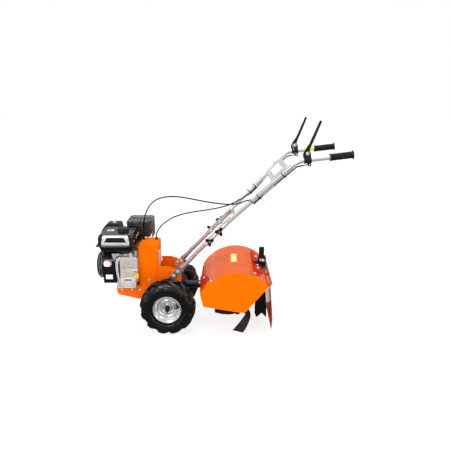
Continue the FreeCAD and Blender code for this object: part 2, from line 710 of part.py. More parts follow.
def grip_under(x, side, below):
    p_ = tube_pt(x)
    return V(x, side * abs(p_.y), p_.z - below)


C1 = [V(-166, 45, 515), V(-166, 45, 560), V(-162, 44, 618), V(-147, 40, 680), V(-115, 31, 736),
      V(-64, 17, 774), V(-2, 1, 789), V(63, -17, 791), V(128, -36, 784), V(192, -54, 775), V(256, -71, 767),
      V(318, -88, 762), V(376, -103, 762), V(424, -115, 771), V(462, -128, 792),
      under(512, -1, 18.4, 11), under(566, -1, 18.2, 4), under(622, -1, 17.4, 2), under(676, -1, 18.6, 3),
      V(728, -231, 1000), V(758, -234.7, 1006.4), V(783.4, -234.7, 1009.6)]
add("clutch_cable_left", cable("clutch_cable_left", C1, 3.0))
C2 = [V(-88, 45, 515), V(-88, 45, 545), V(-69, 48, 580), V(-36, 52, 612), V(10, 57, 643), V(68, 64, 663),
      V(132, 72, 675), V(198, 81, 683), V(262, 90, 691), V(324, 95, 702), V(378, 103, 719), V(422, 114, 741), V(458, 126, 757),
      under(496, 1, 20.5, 12), under(542, 1, 18.4, 4), under(584, 1, 17.4, 2), under(640, 1, 18.4, 3),
      under(690, 1, 19.2, 4), V(732, 231, 1001), V(760, 234.7, 1006.6), V(783.4, 234.7, 1009.6)]
add("clutch_cable_right", cable("clutch_cable_right", C2, 3.0))

# ----------------------------------------------------------------- write files
bb = None
for s in NODES.values():
    b = s.optimalBoundingBox(False, False)
    bb = b if bb is None else bb.united(b)
OX = round((bb.XMin + bb.XMax) / 2, 3)
OY = round((bb.YMin + bb.YMax) / 2, 3)
OZ = round(bb.ZMin, 3)
print("box", round(bb.XMin, 2), round(bb.XMax, 2), round(bb.YMin, 2), round(bb.YMax, 2), round(bb.ZMin, 2), round(bb.ZMax, 2))
print("origin shift", OX, OY, OZ)

os.makedirs("parts", exist_ok=True)
for old in os.listdir("parts"):
    if old.endswith(".step") and old[:-5] not in NODES:
        os.remove(os.path.join("parts", old))
for name, s in NODES.items():
    s = s.copy()
    s.translate(V(-OX, -OY, -OZ))
    s.exportStep("parts/%s.step" % name)
print(len(NODES), "nodes written")
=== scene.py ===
import bpy, bmesh, math, random
from mathutils import Vector, Matrix

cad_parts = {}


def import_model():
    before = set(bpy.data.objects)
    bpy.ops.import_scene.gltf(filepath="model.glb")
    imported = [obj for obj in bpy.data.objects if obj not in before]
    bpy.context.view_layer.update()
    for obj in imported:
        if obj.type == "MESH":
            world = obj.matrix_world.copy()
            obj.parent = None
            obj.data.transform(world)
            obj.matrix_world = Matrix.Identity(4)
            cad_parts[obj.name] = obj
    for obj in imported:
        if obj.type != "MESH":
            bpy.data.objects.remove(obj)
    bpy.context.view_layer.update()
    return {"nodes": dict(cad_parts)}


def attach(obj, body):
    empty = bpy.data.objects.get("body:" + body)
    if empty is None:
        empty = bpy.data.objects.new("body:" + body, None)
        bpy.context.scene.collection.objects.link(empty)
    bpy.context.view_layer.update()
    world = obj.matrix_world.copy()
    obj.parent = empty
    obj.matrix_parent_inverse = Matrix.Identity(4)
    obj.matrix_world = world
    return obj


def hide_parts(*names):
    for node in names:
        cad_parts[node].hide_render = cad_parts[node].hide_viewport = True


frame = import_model()
random.seed(7)
OX = 295.092
RX, RZ = 411.0, 155.0          # rotor centre, work frame
HX0, HZ0, HR = 411.0, 153.6, 244.0   # hood cylinder
ch, wl, wr, tr, fl, ds = "chassis", "wheel_left", "wheel_right", "tine_rotor", "rear_flap", "depth_stake"


def M(p):
    return Vector(((p[0] - OX) / 1000.0, p[1] / 1000.0, p[2] / 1000.0))


# ------------------------------------------------------------------ materials
MATS = {}


def material(name, color, rough=0.5, metal=0.0, coat=0.0, coat_rough=0.1, spec=0.5, var=0.06, vscale=9.0, rvar=0.06, rscale=14.0,
             bump=0.0, bscale=300.0, bdist=0.0004, stretch=(1, 1, 1), second=None, second_scale=30.0, second_pos=(0.55, 0.7),
             edge_wear_highlight=None, wear_r=None, ior=None, aniso=0.0, spangle=0.0, bevel=0.0, sheen=0.0):
    m = bpy.data.materials.new(name)
    m.use_nodes = True
    nt = m.node_tree
    N, L = nt.nodes, nt.links
    b = N["Principled BSDF"]
    b.inputs["Metallic"].default_value = metal
    b.inputs["Specular IOR Level"].default_value = spec
    if coat:
        b.inputs["Coat Weight"].default_value = coat
        b.inputs["Coat Roughness"].default_value = coat_rough
    if ior:
        b.inputs["IOR"].default_value = ior
    if aniso:
        b.inputs["Anisotropic"].default_value = aniso
    if sheen:
        b.inputs["Sheen Weight"].default_value = sheen
    tc = N.new("ShaderNodeTexCoord")
    mp = N.new("ShaderNodeMapping")
    mp.inputs["Scale"].default_value = stretch
    L.new(tc.outputs["Object"], mp.inputs["Vector"])
    n1 = N.new("ShaderNodeTexNoise")
    n1.inputs["Scale"].default_value = vscale
    n1.inputs["Detail"].default_value = 5.0
    L.new(mp.outputs["Vector"], n1.inputs["Vector"])
    r1 = N.new("ShaderNodeValToRGB")
    lo = [max(0.0, c * (1 - var)) for c in color]
    hi = [min(1.0, c * (1 + var)) for c in color]
    r1.color_ramp.elements[0].position = 0.33
    r1.color_ramp.elements[1].position = 0.67
    r1.color_ramp.elements[0].color = (*lo, 1)
    r1.color_ramp.elements[1].color = (*hi, 1)
    L.new(n1.outputs["Fac"], r1.inputs["Fac"])
    col = r1.outputs["Color"]
    if spangle:
        v = N.new("ShaderNodeTexVoronoi")
        v.inputs["Scale"].default_value = 160.0
        L.new(tc.outputs["Object"], v.inputs["Vector"])
        sp = N.new("ShaderNodeValToRGB")
        a = 1 - spangle
        sp.color_ramp.elements[0].color = (a, a, a, 1)
        sp.color_ramp.elements[1].color = (1, 1, 1, 1)
        L.new(v.outputs["Color"], sp.inputs["Fac"])
        mx = N.new("ShaderNodeMix")
        mx.data_type = "RGBA"
        mx.blend_type = "MULTIPLY"
        mx.inputs[0].default_value = 1.0
        L.new(col, mx.inputs[6])
        L.new(sp.outputs["Color"], mx.inputs[7])
        col = mx.outputs[2]
    if second:
        n3 = N.new("ShaderNodeTexNoise")
        n3.inputs["Scale"].default_value = second_scale
        n3.inputs["Detail"].default_value = 8.0
        n3.inputs["Roughness"].default_value = 0.7
        L.new(mp.outputs["Vector"], n3.inputs["Vector"])
        rr = N.new("ShaderNodeValToRGB")
        rr.color_ramp.elements[0].position = second_pos[0]
        rr.color_ramp.elements[1].position = second_pos[1]
        rr.color_ramp.elements[0].color = (0, 0, 0, 1)
        rr.color_ramp.elements[1].color = (1, 1, 1, 1)
        L.new(n3.outputs["Fac"], rr.inputs["Fac"])
        mx = N.new("ShaderNodeMix")
        mx.data_type = "RGBA"
        L.new(rr.outputs["Color"], mx.inputs[0])
        L.new(col, mx.inputs[6])
        mx.inputs[7].default_value = (*second, 1)
        col = mx.outputs[2]
    if edge_wear_highlight:
        # lighter grey where edges are sharp: partly bare-metal wear, partly a painted highlight along the blade edges
        # and bends
        ge = N.new("ShaderNodeNewGeometry")
        nz = N.new("ShaderNodeTexNoise")
        nz.inputs["Scale"].default_value = 90.0
        nz.inputs["Detail"].default_value = 6.0
        L.new(tc.outputs["Object"], nz.inputs["Vector"])
        ad = N.new("ShaderNodeMath")
        ad.operation = "MULTIPLY_ADD"
        ad.inputs[1].default_value = 0.12
        L.new(nz.outputs["Fac"], ad.inputs[0])
        L.new(ge.outputs["Pointiness"], ad.inputs[2])
        wr_ = N.new("ShaderNodeMapRange")
        wr_.inputs["From Min"].default_value = edge_wear_highlight[0]
        wr_.inputs["From Max"].default_value = edge_wear_highlight[1]
        L.new(ad.outputs[0], wr_.inputs["Value"])
        mx = N.new("ShaderNodeMix")
        mx.data_type = "RGBA"
        L.new(wr_.outputs[0], mx.inputs[0])
        L.new(col, mx.inputs[6])
        mx.inputs[7].default_value = (*edge_wear_highlight[2], 1)
        col = mx.outputs[2]
    L.new(col, b.inputs["Base Color"])
    n2 = N.new("ShaderNodeTexNoise")
    n2.inputs["Scale"].default_value = rscale
    n2.inputs["Detail"].default_value = 6.0
    L.new(mp.outputs["Vector"], n2.inputs["Vector"])
    r2 = N.new("ShaderNodeMapRange")
    r2.inputs["From Min"].default_value = 0.3
    r2.inputs["From Max"].default_value = 0.7
    r2.inputs["To Min"].default_value = max(0.02, rough - rvar)
    r2.inputs["To Max"].default_value = min(1.0, rough + rvar)
    L.new(n2.outputs["Fac"], r2.inputs["Value"])
    L.new(r2.outputs[0], b.inputs["Roughness"])
    last = None
    if bevel:
        bv = N.new("ShaderNodeBevel")
        bv.samples = 4
        bv.inputs["Radius"].default_value = bevel
        last = bv.outputs["Normal"]
    if bump:
        n4 = N.new("ShaderNodeTexNoise")
        n4.inputs["Scale"].default_value = bscale
        n4.inputs["Detail"].default_value = 3.0
        L.new(tc.outputs["Object"], n4.inputs["Vector"])
        bp = N.new("ShaderNodeBump")
        bp.inputs["Strength"].default_value = bump
        bp.inputs["Distance"].default_value = bdist
        L.new(n4.outputs["Fac"], bp.inputs["Height"])
        if last is not None:
            L.new(last, bp.inputs["Normal"])
        last = bp.outputs["Normal"]
    if last is not None:
        L.new(last, b.inputs["Normal"])
    MATS[name] = m
    return m


ORANGE = (0.98, 0.165, 0.004)
m_orange = material("orange_powder_coat", (0.97, 0.155, 0.0), rough=0.45, coat=0.06, coat_rough=0.15, spec=0.1, var=0.03, bump=0.1, bscale=420, bdist=0.0003)
m_orange_side = material("orange_flat_panel", (1.0, 0.160, 0.0), rough=0.5, coat=0.0, spec=0.02, var=0.015, bump=0.1, bscale=420, bdist=0.0003)
m_orange_gloss = material("orange_gloss_hood", (0.80, 0.115, 0.0), rough=0.34, coat=0.24, coat_rough=0.15, spec=0.16, var=0.10, vscale=5, stretch=(1, 3, 1), bump=0.08, bscale=300, bdist=0.0003)
# painted shade: a darker, redder copy of the orange paint for the hood front bracket, stake support and flap hinge
m_orange_painted_shade = material("orange_painted_shade_bracket", (0.55, 0.026, 0.0), rough=0.4, coat=0.04, coat_rough=0.15, spec=0.1, var=0.08, bump=0.1, bscale=420)
m_flap = material("orange_flap", (0.70, 0.045, 0.0), rough=0.3, coat=0.8, coat_rough=0.14, var=0.06, bump=0.04, bscale=300)
m_zinc = material("galvanised_tube", (0.92, 0.92, 0.92), rough=0.24, metal=0.70, spec=0.5, var=0.02, vscale=16, rvar=0.03, rscale=24)
m_zinc_low = material("galvanised_lower_tube", (0.80, 0.80, 0.805), rough=0.2, metal=0.88, spec=0.5, var=0.02, vscale=16, rvar=0.03, rscale=24)
m_zincplate = material("galvanised_sheet", (0.73, 0.73, 0.73), rough=0.34, metal=0.6, var=0.04, vscale=18, rvar=0.06, spangle=0.04, bump=0.03, bscale=500)
m_rim = material("rim_bright_steel", (0.95, 0.955, 0.96), rough=0.18, metal=0.78, var=0.02, vscale=30, rvar=0.03, rscale=30)
m_bolt = material("zinc_bolt", (0.88, 0.88, 0.87), rough=0.26, metal=0.7, var=0.08, vscale=120, rvar=0.1, rscale=150, bump=0.05, bscale=900)
m_bolt_yel = material("yellow_passivated_bolt", (0.78, 0.66, 0.38), rough=0.3, metal=1.0, var=0.12, vscale=120, rvar=0.1, rscale=150)
m_alu = material("cast_aluminium", (0.72, 0.68, 0.635), rough=0.38, metal=0.35, var=0.07, vscale=35, rvar=0.1, rscale=60, bump=0.3, bscale=520, bdist=0.0005, second=(0.42, 0.385, 0.35), second_scale=24, second_pos=(0.56, 0.85))
m_alu_mach = material("machined_aluminium", (0.93, 0.93, 0.93), rough=0.24, metal=0.5, var=0.04, vscale=60, rvar=0.08, bump=0.06, bscale=800)
m_black = material("black_paint", (0.0055, 0.0055, 0.006), rough=0.3, coat=0.25, coat_rough=0.08, spec=0.35, var=0.25, vscale=20, rvar=0.06, bump=0.1, bscale=380)
m_black_gloss = material("black_tank_gloss", (0.003, 0.003, 0.0032), rough=0.08, coat=0.4, coat_rough=0.03, spec=0.5, var=0.2, vscale=14, rvar=0.03)
m_plastic = material("black_plastic", (0.008, 0.008, 0.0085), rough=0.4, spec=0.35, var=0.2, vscale=40, rvar=0.07, bump=0.25, bscale=900, bdist=0.0002)
m_greyplastic = material("dark_grey_plastic", (0.02, 0.02, 0.021), rough=0.42, spec=0.35, var=0.18, vscale=40, rvar=0.08, bump=0.25, bscale=900, bdist=0.0002)
m_rubber = material("tyre_rubber", (0.0055, 0.0048, 0.0042), rough=0.2, spec=0.55, var=0.22, vscale=26, rvar=0.08, rscale=30, bump=0.15, bscale=420, bdist=0.0003)
m_grip = material("grip_rubber", (0.009, 0.0085, 0.0085), rough=0.5, spec=0.35, var=0.2, vscale=60, rvar=0.08, bump=0.3, bscale=700, bdist=0.0003)
m_cable = material("cable_sheath", (0.004, 0.004, 0.004), rough=0.5, spec=0.12, var=0.2, vscale=60, rvar=0.06)
m_cast = material("black_cast_iron", (0.009, 0.009, 0.0095), rough=0.55, spec=0.3, var=0.25, vscale=30, rvar=0.12, bump=0.5, bscale=320, bdist=0.0006)
# tines: the lighter grey on sharp edges and bends is partly wear and partly a painted highlight
m_tine = material("tine_black_steel", (0.012, 0.010, 0.009), rough=0.34, coat=0.3, coat_rough=0.2, spec=0.4, var=0.25, vscale=24, rvar=0.1, bump=0.2, bscale=200, bdist=0.0004, edge_wear_highlight=(0.60, 0.68, (0.20, 0.19, 0.18)))
m_dark = material("dark_steel", (0.05, 0.05, 0.052), rough=0.4, metal=0.7, var=0.2, vscale=40, rvar=0.12, bump=0.15, bscale=400, second=(0.10, 0.06, 0.035), second_scale=40, second_pos=(0.6, 0.8))
m_muffler = material("muffler_black_enamel", (0.006, 0.0055, 0.005), rough=0.45, spec=0.3, var=0.3, vscale=30, rvar=0.1, bump=0.2, bscale=300)
m_mesh = material("muffler_guard_wire", (0.28, 0.275, 0.27), rough=0.22, metal=0.8, var=0.5, vscale=90, rvar=0.12, rscale=160)
# painted highlight: light grey for thin outlines round the recoil windows, standing in for light on the window edges
m_painted_edge_highlight = material("painted_highlight_edge_grey", (0.42, 0.42, 0.41), rough=0.34, var=0.25, vscale=90, rvar=0.1)
m_yellow = material("yellow_cap_plastic", (0.95, 0.62, 0.02), rough=0.3, var=0.05, vscale=60, rvar=0.05, bump=0.1, bscale=600)
m_sticker = material("blank_yellow_label", (0.95, 0.80, 0.13), rough=0.3, coat=0.4, coat_rough=0.1, var=0.03, vscale=30, rvar=0.05)
m_sticker2 = material("blank_pale_yellow_label", (0.86, 0.84, 0.36), rough=0.3, coat=0.4, coat_rough=0.1, var=0.10, vscale=120, rvar=0.05)
m_white = material("blank_white_label", (0.84, 0.84, 0.83), rough=0.35, coat=0.3, coat_rough=0.15, var=0.02, vscale=30, rvar=0.05)
m_pink = material("blank_pink_patch", (0.75, 0.30, 0.34), rough=0.35, coat=0.3, coat_rough=0.15, var=0.05, vscale=30, rvar=0.05)
m_sticker_deep = material("blank_amber_label", (0.80, 0.50, 0.10), rough=0.3, coat=0.4, coat_rough=0.1, var=0.05, vscale=30, rvar=0.05)
m_red_dark = material("dark_red_plastic", (0.16, 0.006, 0.008), rough=0.3, var=0.08, vscale=60, rvar=0.05)
m_silverlabel = material("blank_silver_label", (0.72, 0.72, 0.76), rough=0.22, metal=0.25, coat=0.5, coat_rough=0.06, var=0.10, vscale=18, rvar=0.05, stretch=(1, 1, 4))
m_red = material("red_plastic", (0.62, 0.02, 0.015), rough=0.3, var=0.08, vscale=60, rvar=0.05)
m_lime = material("lime_band", (0.72, 0.86, 0.03), rough=0.35, var=0.05, vscale=60, rvar=0.05)
m_brass = material("brass", (0.82, 0.60, 0.26), rough=0.28, metal=1.0, var=0.1, vscale=80, rvar=0.08)
# painted shade: near-black for the insides of holes, slots and gaps where only shade is seen
m_painted_shade_black = material("painted_shade_recess", (0.004, 0.004, 0.004), rough=0.7, var=0.3, vscale=60, rvar=0.05)
m_weld = material("weld_bead", (0.30, 0.30, 0.31), rough=0.35, metal=0.8, var=0.25, vscale=140, rvar=0.1, bump=0.4, bscale=500)

CADMAT = {
    "rim_left": m_rim, "rim_right": m_rim, "axle_shaft": m_dark, "gearbox_case": m_cast,
    "gearbox_plate_left": m_orange, "gearbox_plate_right": m_orange, "drive_tube": m_black,
    "engine_base": m_orange, "belt_guard": m_orange_side, "crankcase": m_alu, "cylinder_head": m_alu,
    "fan_housing": m_black, "recoil_starter": m_black, "fuel_tank": m_black_gloss, "fuel_cap": m_plastic,
    "air_cleaner": m_greyplastic, "carburettor": m_alu_mach, "muffler": m_muffler, "muffler_guard": m_mesh,
    "oil_filler_cap": m_yellow, "tine_case": m_cast, "rotor_shaft": m_black, "rotor_flanges": m_black,
    "tines_left": m_tine, "tines_right": m_tine, "hood_shell": m_orange_gloss,
    "hood_side_left": m_orange_side, "hood_side_right": m_orange_side, "hood_front_bracket": m_orange_painted_shade,
    "stake_support": m_orange_painted_shade, "stake_bracket": m_black, "depth_stake": m_black, "flap_hinge": m_orange_painted_shade,
    "rear_flap": m_flap, "lower_handle": m_zinc_low, "upper_handle_left": m_zinc, "upper_handle_right": m_zinc,
    "grip_left": m_grip, "grip_right": m_grip, "star_knobs_left": m_plastic, "star_knobs_right": m_plastic,
    "console_plate": m_zincplate, "lever_bracket_left": m_plastic, "lever_bracket_right": m_plastic,
    "clutch_lever_left": m_plastic, "clutch_lever_right": m_plastic,
    "clutch_cable_left": m_cable, "clutch_cable_right": m_cable, "tyre_left": m_rubber, "tyre_right": m_rubber,
}
BEV = {
    "gearbox_case": 2.0, "gearbox_plate_left": 0.8, "gearbox_plate_right": 0.8, "engine_base": 0.9, "belt_guard": 0.7,
    "crankcase": 2.5, "fuel_tank": 5.0, "cylinder_head": 2.5, "fan_housing": 3.0, "air_cleaner": 3.0,
    "carburettor": 2.0, "muffler": 1.2, "hood_side_left": 0.7, "hood_side_right": 0.7,
    "hood_front_bracket": 0.8, "stake_support": 0.8, "stake_bracket": 0.8, "depth_stake": 1.0, "rear_flap": 0.6,
    "lever_bracket_left": 0.8, "lever_bracket_right": 0.8, "clutch_lever_left": 2.0, "clutch_lever_right": 2.0,
    "rotor_flanges": 0.8, "lower_handle": 0.6, "console_plate": 0.4, "drive_tube": 1.0, "flap_hinge": 0.5,
}
for n, o in frame["nodes"].items():
    if n in CADMAT:
        if not o.material_slots:
            o.data.materials.append(CADMAT[n])
        for s_ in o.material_slots:
            s_.material = CADMAT[n]
    if n in BEV:
        w = o.modifiers.new("weld", "WELD")
        w.merge_threshold = 0.00002
        b = o.modifiers.new("bevel", "BEVEL")
        b.width = BEV[n] / 1000.0
        b.segments = 3
        b.limit_method = "ANGLE"
        b.angle_limit = math.radians(32)
        b.use_clamp_overlap = True
        wn = o.modifiers.new("wn", "WEIGHTED_NORMAL")
        wn.keep_sharp = False
        wn.weight = 80


for n in ("clutch_cable_left", "clutch_cable_right"):
    w = frame["nodes"][n].modifiers.new("weld", "WELD")
    w.merge_threshold = 0.00002
    w = frame["nodes"][n].modifiers.new("sheath", "DISPLACE")
    w.mid_level = 0.0
    w.strength = 0.0007

# -------------------------------------------------------------- mesh building
def basis(ax, hint=None):
    w = Vector(ax).normalized()
    h = Vector(hint) if hint is not None else (Vector((0, 0, 1)) if abs(w.z) < 0.9 else Vector((1, 0, 0)))
    u = h - w * h.dot(w)
    u.normalize()
    v = w.cross(u)
    return u, v, w


class MB:
    """Collects mesh in work-frame millimetres."""

    def __init__(s):
        s.v = []
        s.f = []

    def add(s, vs, fs):
        o = len(s.v)
        s.v += [Vector(p) for p in vs]
        s.f += [tuple(i + o for i in f) for f in fs]

    def lathe(s, o, ax, prof, n=40, a0=0.0, a1=360.0, closed=False, hint=None):
        u, v, w = basis(ax, hint)
        o = Vector(o)
        full = abs(a1 - a0 - 360.0) < 1e-6
        cols = n if full else n + 1
        vs, idx = [], []
        for (r, h) in prof:
            if r < 1e-6:
                idx.append([len(vs)] * cols)
                vs.append(o + w * h)
            else:
                row = []
                for k in range(cols):
                    a = math.radians(a0 + (a1 - a0) * k / n)
                    row.append(len(vs))
                    vs.append(o + w * h + u * (r * math.cos(a)) + v * (r * math.sin(a)))
                idx.append(row)
        fs = []
        m = len(prof)
        for j in range(m if closed else m - 1):
            A, B = idx[j], idx[(j + 1) % m]
            for k in range(n):
                k2 = (k + 1) % cols
                q = [A[k], A[k2], B[k2], B[k]]
                q2 = []
                for i in q:
                    if i not in q2:
                        q2.append(i)
                if len(q2) > 2:
                    fs.append(tuple(q2))
        s.add(vs, fs)
        return s

    def prism(s, poly, o, ux, uy, h):
        ux, uy, o = Vector(ux), Vector(uy), Vector(o)
        nrm = ux.cross(uy).normalized()
        k = len(poly)
        vs = [o + ux * a + uy * b for a, b in poly] + [o + ux * a + uy * b + nrm * h for a, b in poly]
        fs = [tuple(range(k))[::-1], tuple(range(k, 2 * k))]
        fs += [(i, (i + 1) % k, k + (i + 1) % k, k + i) for i in range(k)]
        s.add(vs, fs)
        return s

    def tube(s, path, r, n=14, cap=True):
        path = [Vector(p) for p in path]
        t = (path[1] - path[0]).normalized()
        u, v, w = basis(t)
        rows, vs = [], []
        for i, p in enumerate(path):
            if 0 < i < len(path) - 1:
                t2 = ((path[i + 1] - p).normalized() + (p - path[i - 1]).normalized()).normalized()
            elif i == 0:
                t2 = t
            else:
                t2 = (p - path[i - 1]).normalized()
            q = t.rotation_difference(t2)
            u = q @ u
            v = q @ v
            t = t2
            rr = r[i] if isinstance(r, (list, tuple)) else r
            rows.append([len(vs) + k for k in range(n)])
            vs += [p + u * (rr * math.cos(2 * math.pi * k / n)) + v * (rr * math.sin(2 * math.pi * k / n)) for k in range(n)]
        fs = []
        for i in range(len(rows) - 1):
            A, B = rows[i], rows[i + 1]
            fs += [(A[k], A[(k + 1) % n], B[(k + 1) % n], B[k]) for k in range(n)]
        if cap:
            fs += [tuple(rows[0][::-1]), tuple(rows[-1])]
        s.add(vs, fs)
        return s

    def torus(s, o, ax, R, r, n=48, m=12):
        prof = [(R + r * math.cos(2 * math.pi * k / m), r * math.sin(2 * math.pi * k / m)) for k in range(m)]
        return s.lathe(o, ax, prof, n, closed=True)

    def bolt(s, p, ax, af=10.0, h=5.0, washer=True, turn=0.0, flange=False):
        """Hex head with chamfered crown on a washer, p on the surface."""
        p, w = Vector(p), Vector(ax).normalized()
        R = af / 2 / math.cos(math.radians(30))
        z = 0.0
        if washer:
            s.lathe(p, w, [(0, 1.5), (af * 0.92, 1.5), (af * 0.98, 1.1), (af * 0.98, -0.2), (0, -0.2)], 28)
            z = 1.5
        if flange:
            s.lathe(p, w, [(0, z + 1.6), (af * 0.62, z + 1.6), (af * 0.82, z + 0.6), (af * 0.82, z - 0.2), (0, z - 0.2)], 28)
        u, v, _ = basis(w)
        a = math.radians(turn)
        hint = u * math.cos(a) + v * math.sin(a)
        s.lathe(p, w, [(0, z + h), (R * 0.80, z + h), (R * 0.97, z + h * 0.86), (R, z + h * 0.7), (R, z), (0, z)], 6, hint=hint)
        s.lathe(p, w, [(0, z + h + 0.25), (R * 0.72, z + h + 0.25), (R * 0.78, z + h - 0.2), (0, z + h - 0.2)], 24)
        return s

    def nut(s, p, ax, af=10.0, h=6.0, stud=4.0):
        s.bolt(p, ax, af, h)
        w = Vector(ax).normalized()
        s.lathe(Vector(p) + w * (h + 1.0), w, [(0, stud), (af * 0.22, stud), (af * 0.27, stud - 0.8), (af * 0.27, 0), (0, 0)], 16)
        return s


def rrect(x0, x1, y0, y1, r, n=5):
    pts = []
    for cx, cy, a in ((x1 - r, y1 - r, 0), (x0 + r, y1 - r, 90), (x0 + r, y0 + r, 180), (x1 - r, y0 + r, 270)):
        for k in range(n + 1):
            t = math.radians(a + 90.0 * k / n)
            pts.append((cx + r * math.cos(t), cy + r * math.sin(t)))
    return pts


def obj(name, mb, mat, body, bevel=0.0, seg=2, angle=35, replaces=None, weighted=True):
    me = bpy.data.meshes.new(name)
    me.from_pydata([M(p) for p in mb.v], [], mb.f)
    bm = bmesh.new()
    bm.from_mesh(me)
    bmesh.ops.remove_doubles(bm, verts=bm.verts, dist=1e-6)
    bmesh.ops.recalc_face_normals(bm, faces=bm.faces)
    lim = math.radians(angle)
    for f in bm.faces:
        f.smooth = True
    for e in bm.edges:
        if len(e.link_faces) == 2 and e.calc_face_angle(0.0) > lim:
            e.smooth = False
    bm.to_mesh(me)
    bm.free()
    o = bpy.data.objects.new(name, me)
    bpy.context.scene.collection.objects.link(o)
    me.materials.append(mat)
    if bevel:
        b = o.modifiers.new("bevel", "BEVEL")
        b.width = bevel / 1000.0
        b.segments = seg
        b.limit_method = "ANGLE"
        b.angle_limit = math.radians(30)
        b.use_clamp_overlap = True
        if weighted:
            wn = o.modifiers.new("wn", "WEIGHTED_NORMAL")
            wn.weight = 80
    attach(o, body)
    if replaces:
        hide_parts(*replaces)
    return o


def catmull(pts, k):
    out = []
    n = len(pts)
    for i in range(n - 1):
        p0, p1, p2, p3 = pts[max(i - 1, 0)], pts[i], pts[i + 1], pts[min(i + 2, n - 1)]
        for j in range(k):
            t = j / k
            out.append(tuple(0.5 * (2 * b + (c - a) * t + (2 * a - 5 * b + 4 * c - d) * t * t + (3 * b - a - 3 * c + d) * t ** 3)
                             for a, b, c, d in zip(p0, p1, p2, p3)))
    out.append(tuple(pts[-1]))
    return out


def arc_pts(cx, cy, r, a0, a1, n):
    return [(cx + r * math.cos(math.radians(a0 + (a1 - a0) * k / n)), cy + r * math.sin(math.radians(a0 + (a1 - a0) * k / n))) for k in range(n + 1)]


def round_poly(poly, rad, n=5):
    out = []
    k = len(poly)
    for i in range(k):
        p0, p1, p2 = Vector(poly[i - 1]), Vector(poly[i]), Vector(poly[(i + 1) % k])
        r = rad[i] if isinstance(rad, list) else rad
        a, b = (p0 - p1).normalized(), (p2 - p1).normalized()
        ang = a.angle(b)
        t = min(r / math.tan(ang / 2), (p0 - p1).length * 0.48, (p2 - p1).length * 0.48)
        r = t * math.tan(ang / 2)
        c = p1 + (a + b).normalized() * (r / math.sin(ang / 2))
        s0, s1 = p1 + a * t, p1 + b * t
        a0 = math.atan2(s0.y - c.y, s0.x - c.x)
        a1 = math.atan2(s1.y - c.y, s1.x - c.x)
        d = a1 - a0
        while d > math.pi:
            d -= 2 * math.pi
        while d < -math.pi:
            d += 2 * math.pi
        for q in range(n + 1):
            t_ = a0 + d * q / n
            out.append((c.x + r * math.cos(t_), c.y + r * math.sin(t_)))
    return out


def interp(tab, x):
    if x <= tab[0][0]:
        return tab[0][1]
    for (a, b), (c, d) in zip(tab, tab[1:]):
        if x <= c:
            return b + (d - b) * (x - a) / (c - a)
    return tab[-1][1]


def lugs_tab(y):
    return interp([(0, 165), (26, 164.6), (46, 159.0), (58, 146), (61.0, 130), (61.6, 122)], abs(y))


# ---------------------------------------------------------------------- tyres
CARC = [(75.9, 43.6), (80, 45.0), (83.0, 46.0), (83.2, 53.2), (84.4, 54.6), (88.5, 55.2), (92.5, 55.0), (95, 55.6), (99.5, 56.4), (101.5, 58.5), (104.5, 59.4), (112, 60.8),
        (120, 61.2), (122.2, 61.8), (124.5, 61.8), (126.5, 60.6), (132, 59.2), (138, 56.6), (143.5, 51.5), (147.5, 44), (150, 33), (151.2, 18), (151.6, 0)]


def tyre(name, body, side, node):
    yc = side * 195.0
    mb = MB()
    prof = [(r, -y) for r, y in CARC] + [(r, y) for r, y in CARC[::-1][1:]]
    inner = [(75.9, 34), (92, 36), (106, 45), (124, 50), (140, 46), (147, 24), (147, -24), (140, -46), (124, -50), (106, -45), (92, -36), (75.9, -34)]
    mb.lathe((0, yc, 165), (0, 1, 0), prof + inner, 144, closed=True)
    o = obj(name + "_carcass", mb, m_rubber, body, angle=50, replaces=[node])
    lm = MB()
    NL = 12
    ys = [-5, 4, 14, 24, 34, 43, 50, 55.5, 59, 60.8, 61.3]
    rin = [150.6, 150.6, 150.4, 149.8, 148.6, 146.4, 141.8, 137.5, 132.6, 127.5, 123.5]
    for sg in (-1, 1):
        for k in range(NL):
            ph = 2 * math.pi * (k + (0.5 if sg > 0 else 0.0)) / NL
            rows = []
            vs = []
            for j, y in enumerate(ys):
                ro = lugs_tab(y) if j < len(ys) - 1 else lugs_tab(y) - 1.0
                if j == len(ys) - 1:
                    ro = rin[j] + 2.2
                ri = rin[j] - 1.2
                t = max(0.0, y) / 60.0
                c = ph + 0.33 * (1 - (1 - min(t, 1)) ** 1.2)
                wt = 10.5 + 4.0 * t
                wb = 14.0 + 4.0 * t
                if j >= len(ys) - 3:
                    wt *= 0.94
                row = []
                for (r, w_) in ((ri, -wb), (ro - 1.2, -wt - 1.2), (ro, -wt + 1.0), (ro, wt - 1.0), (ro - 1.2, wt + 1.2), (ri, wb)):
                    a = c + w_ / r
                    row.append(len(vs))
                    yy = yc + sg * (y if r > ri + 0.1 else y - 0.5)
                    vs.append((r * math.sin(a), yy, 165 + r * math.cos(a)))
                rows.append(row)
            fs = []
            for A, B in zip(rows, rows[1:]):
                for q in range(5):
                    fs.append((A[q], A[q + 1], B[q + 1], B[q]))
                fs.append((A[5], A[0], B[0], B[5]))
            fs.append(tuple(rows[0][::-1]))
            fs.append(tuple(rows[-1]))
            lm.add(vs, fs)
    obj(name + "_lugs", lm, m_rubber, body, bevel=1.1, seg=2, angle=30)
    # fine moulding ribs round the sidewall
    rb = MB()
    for sg in (-1, 1):
        for R, yy in ((96.5, 56.0), (108.5, 60.4), (115.5, 61.1), (129.5, 60.2)):
            rb.torus((0, yc + sg * yy, 165), (0, 1, 0), R, 0.8, 120, 6)
    obj(name + "_sidewall_rings", rb, m_rubber, body)


tyre("tyre_left", wl, -1, "tyre_left")
tyre("tyre_right", wr, 1, "tyre_right")

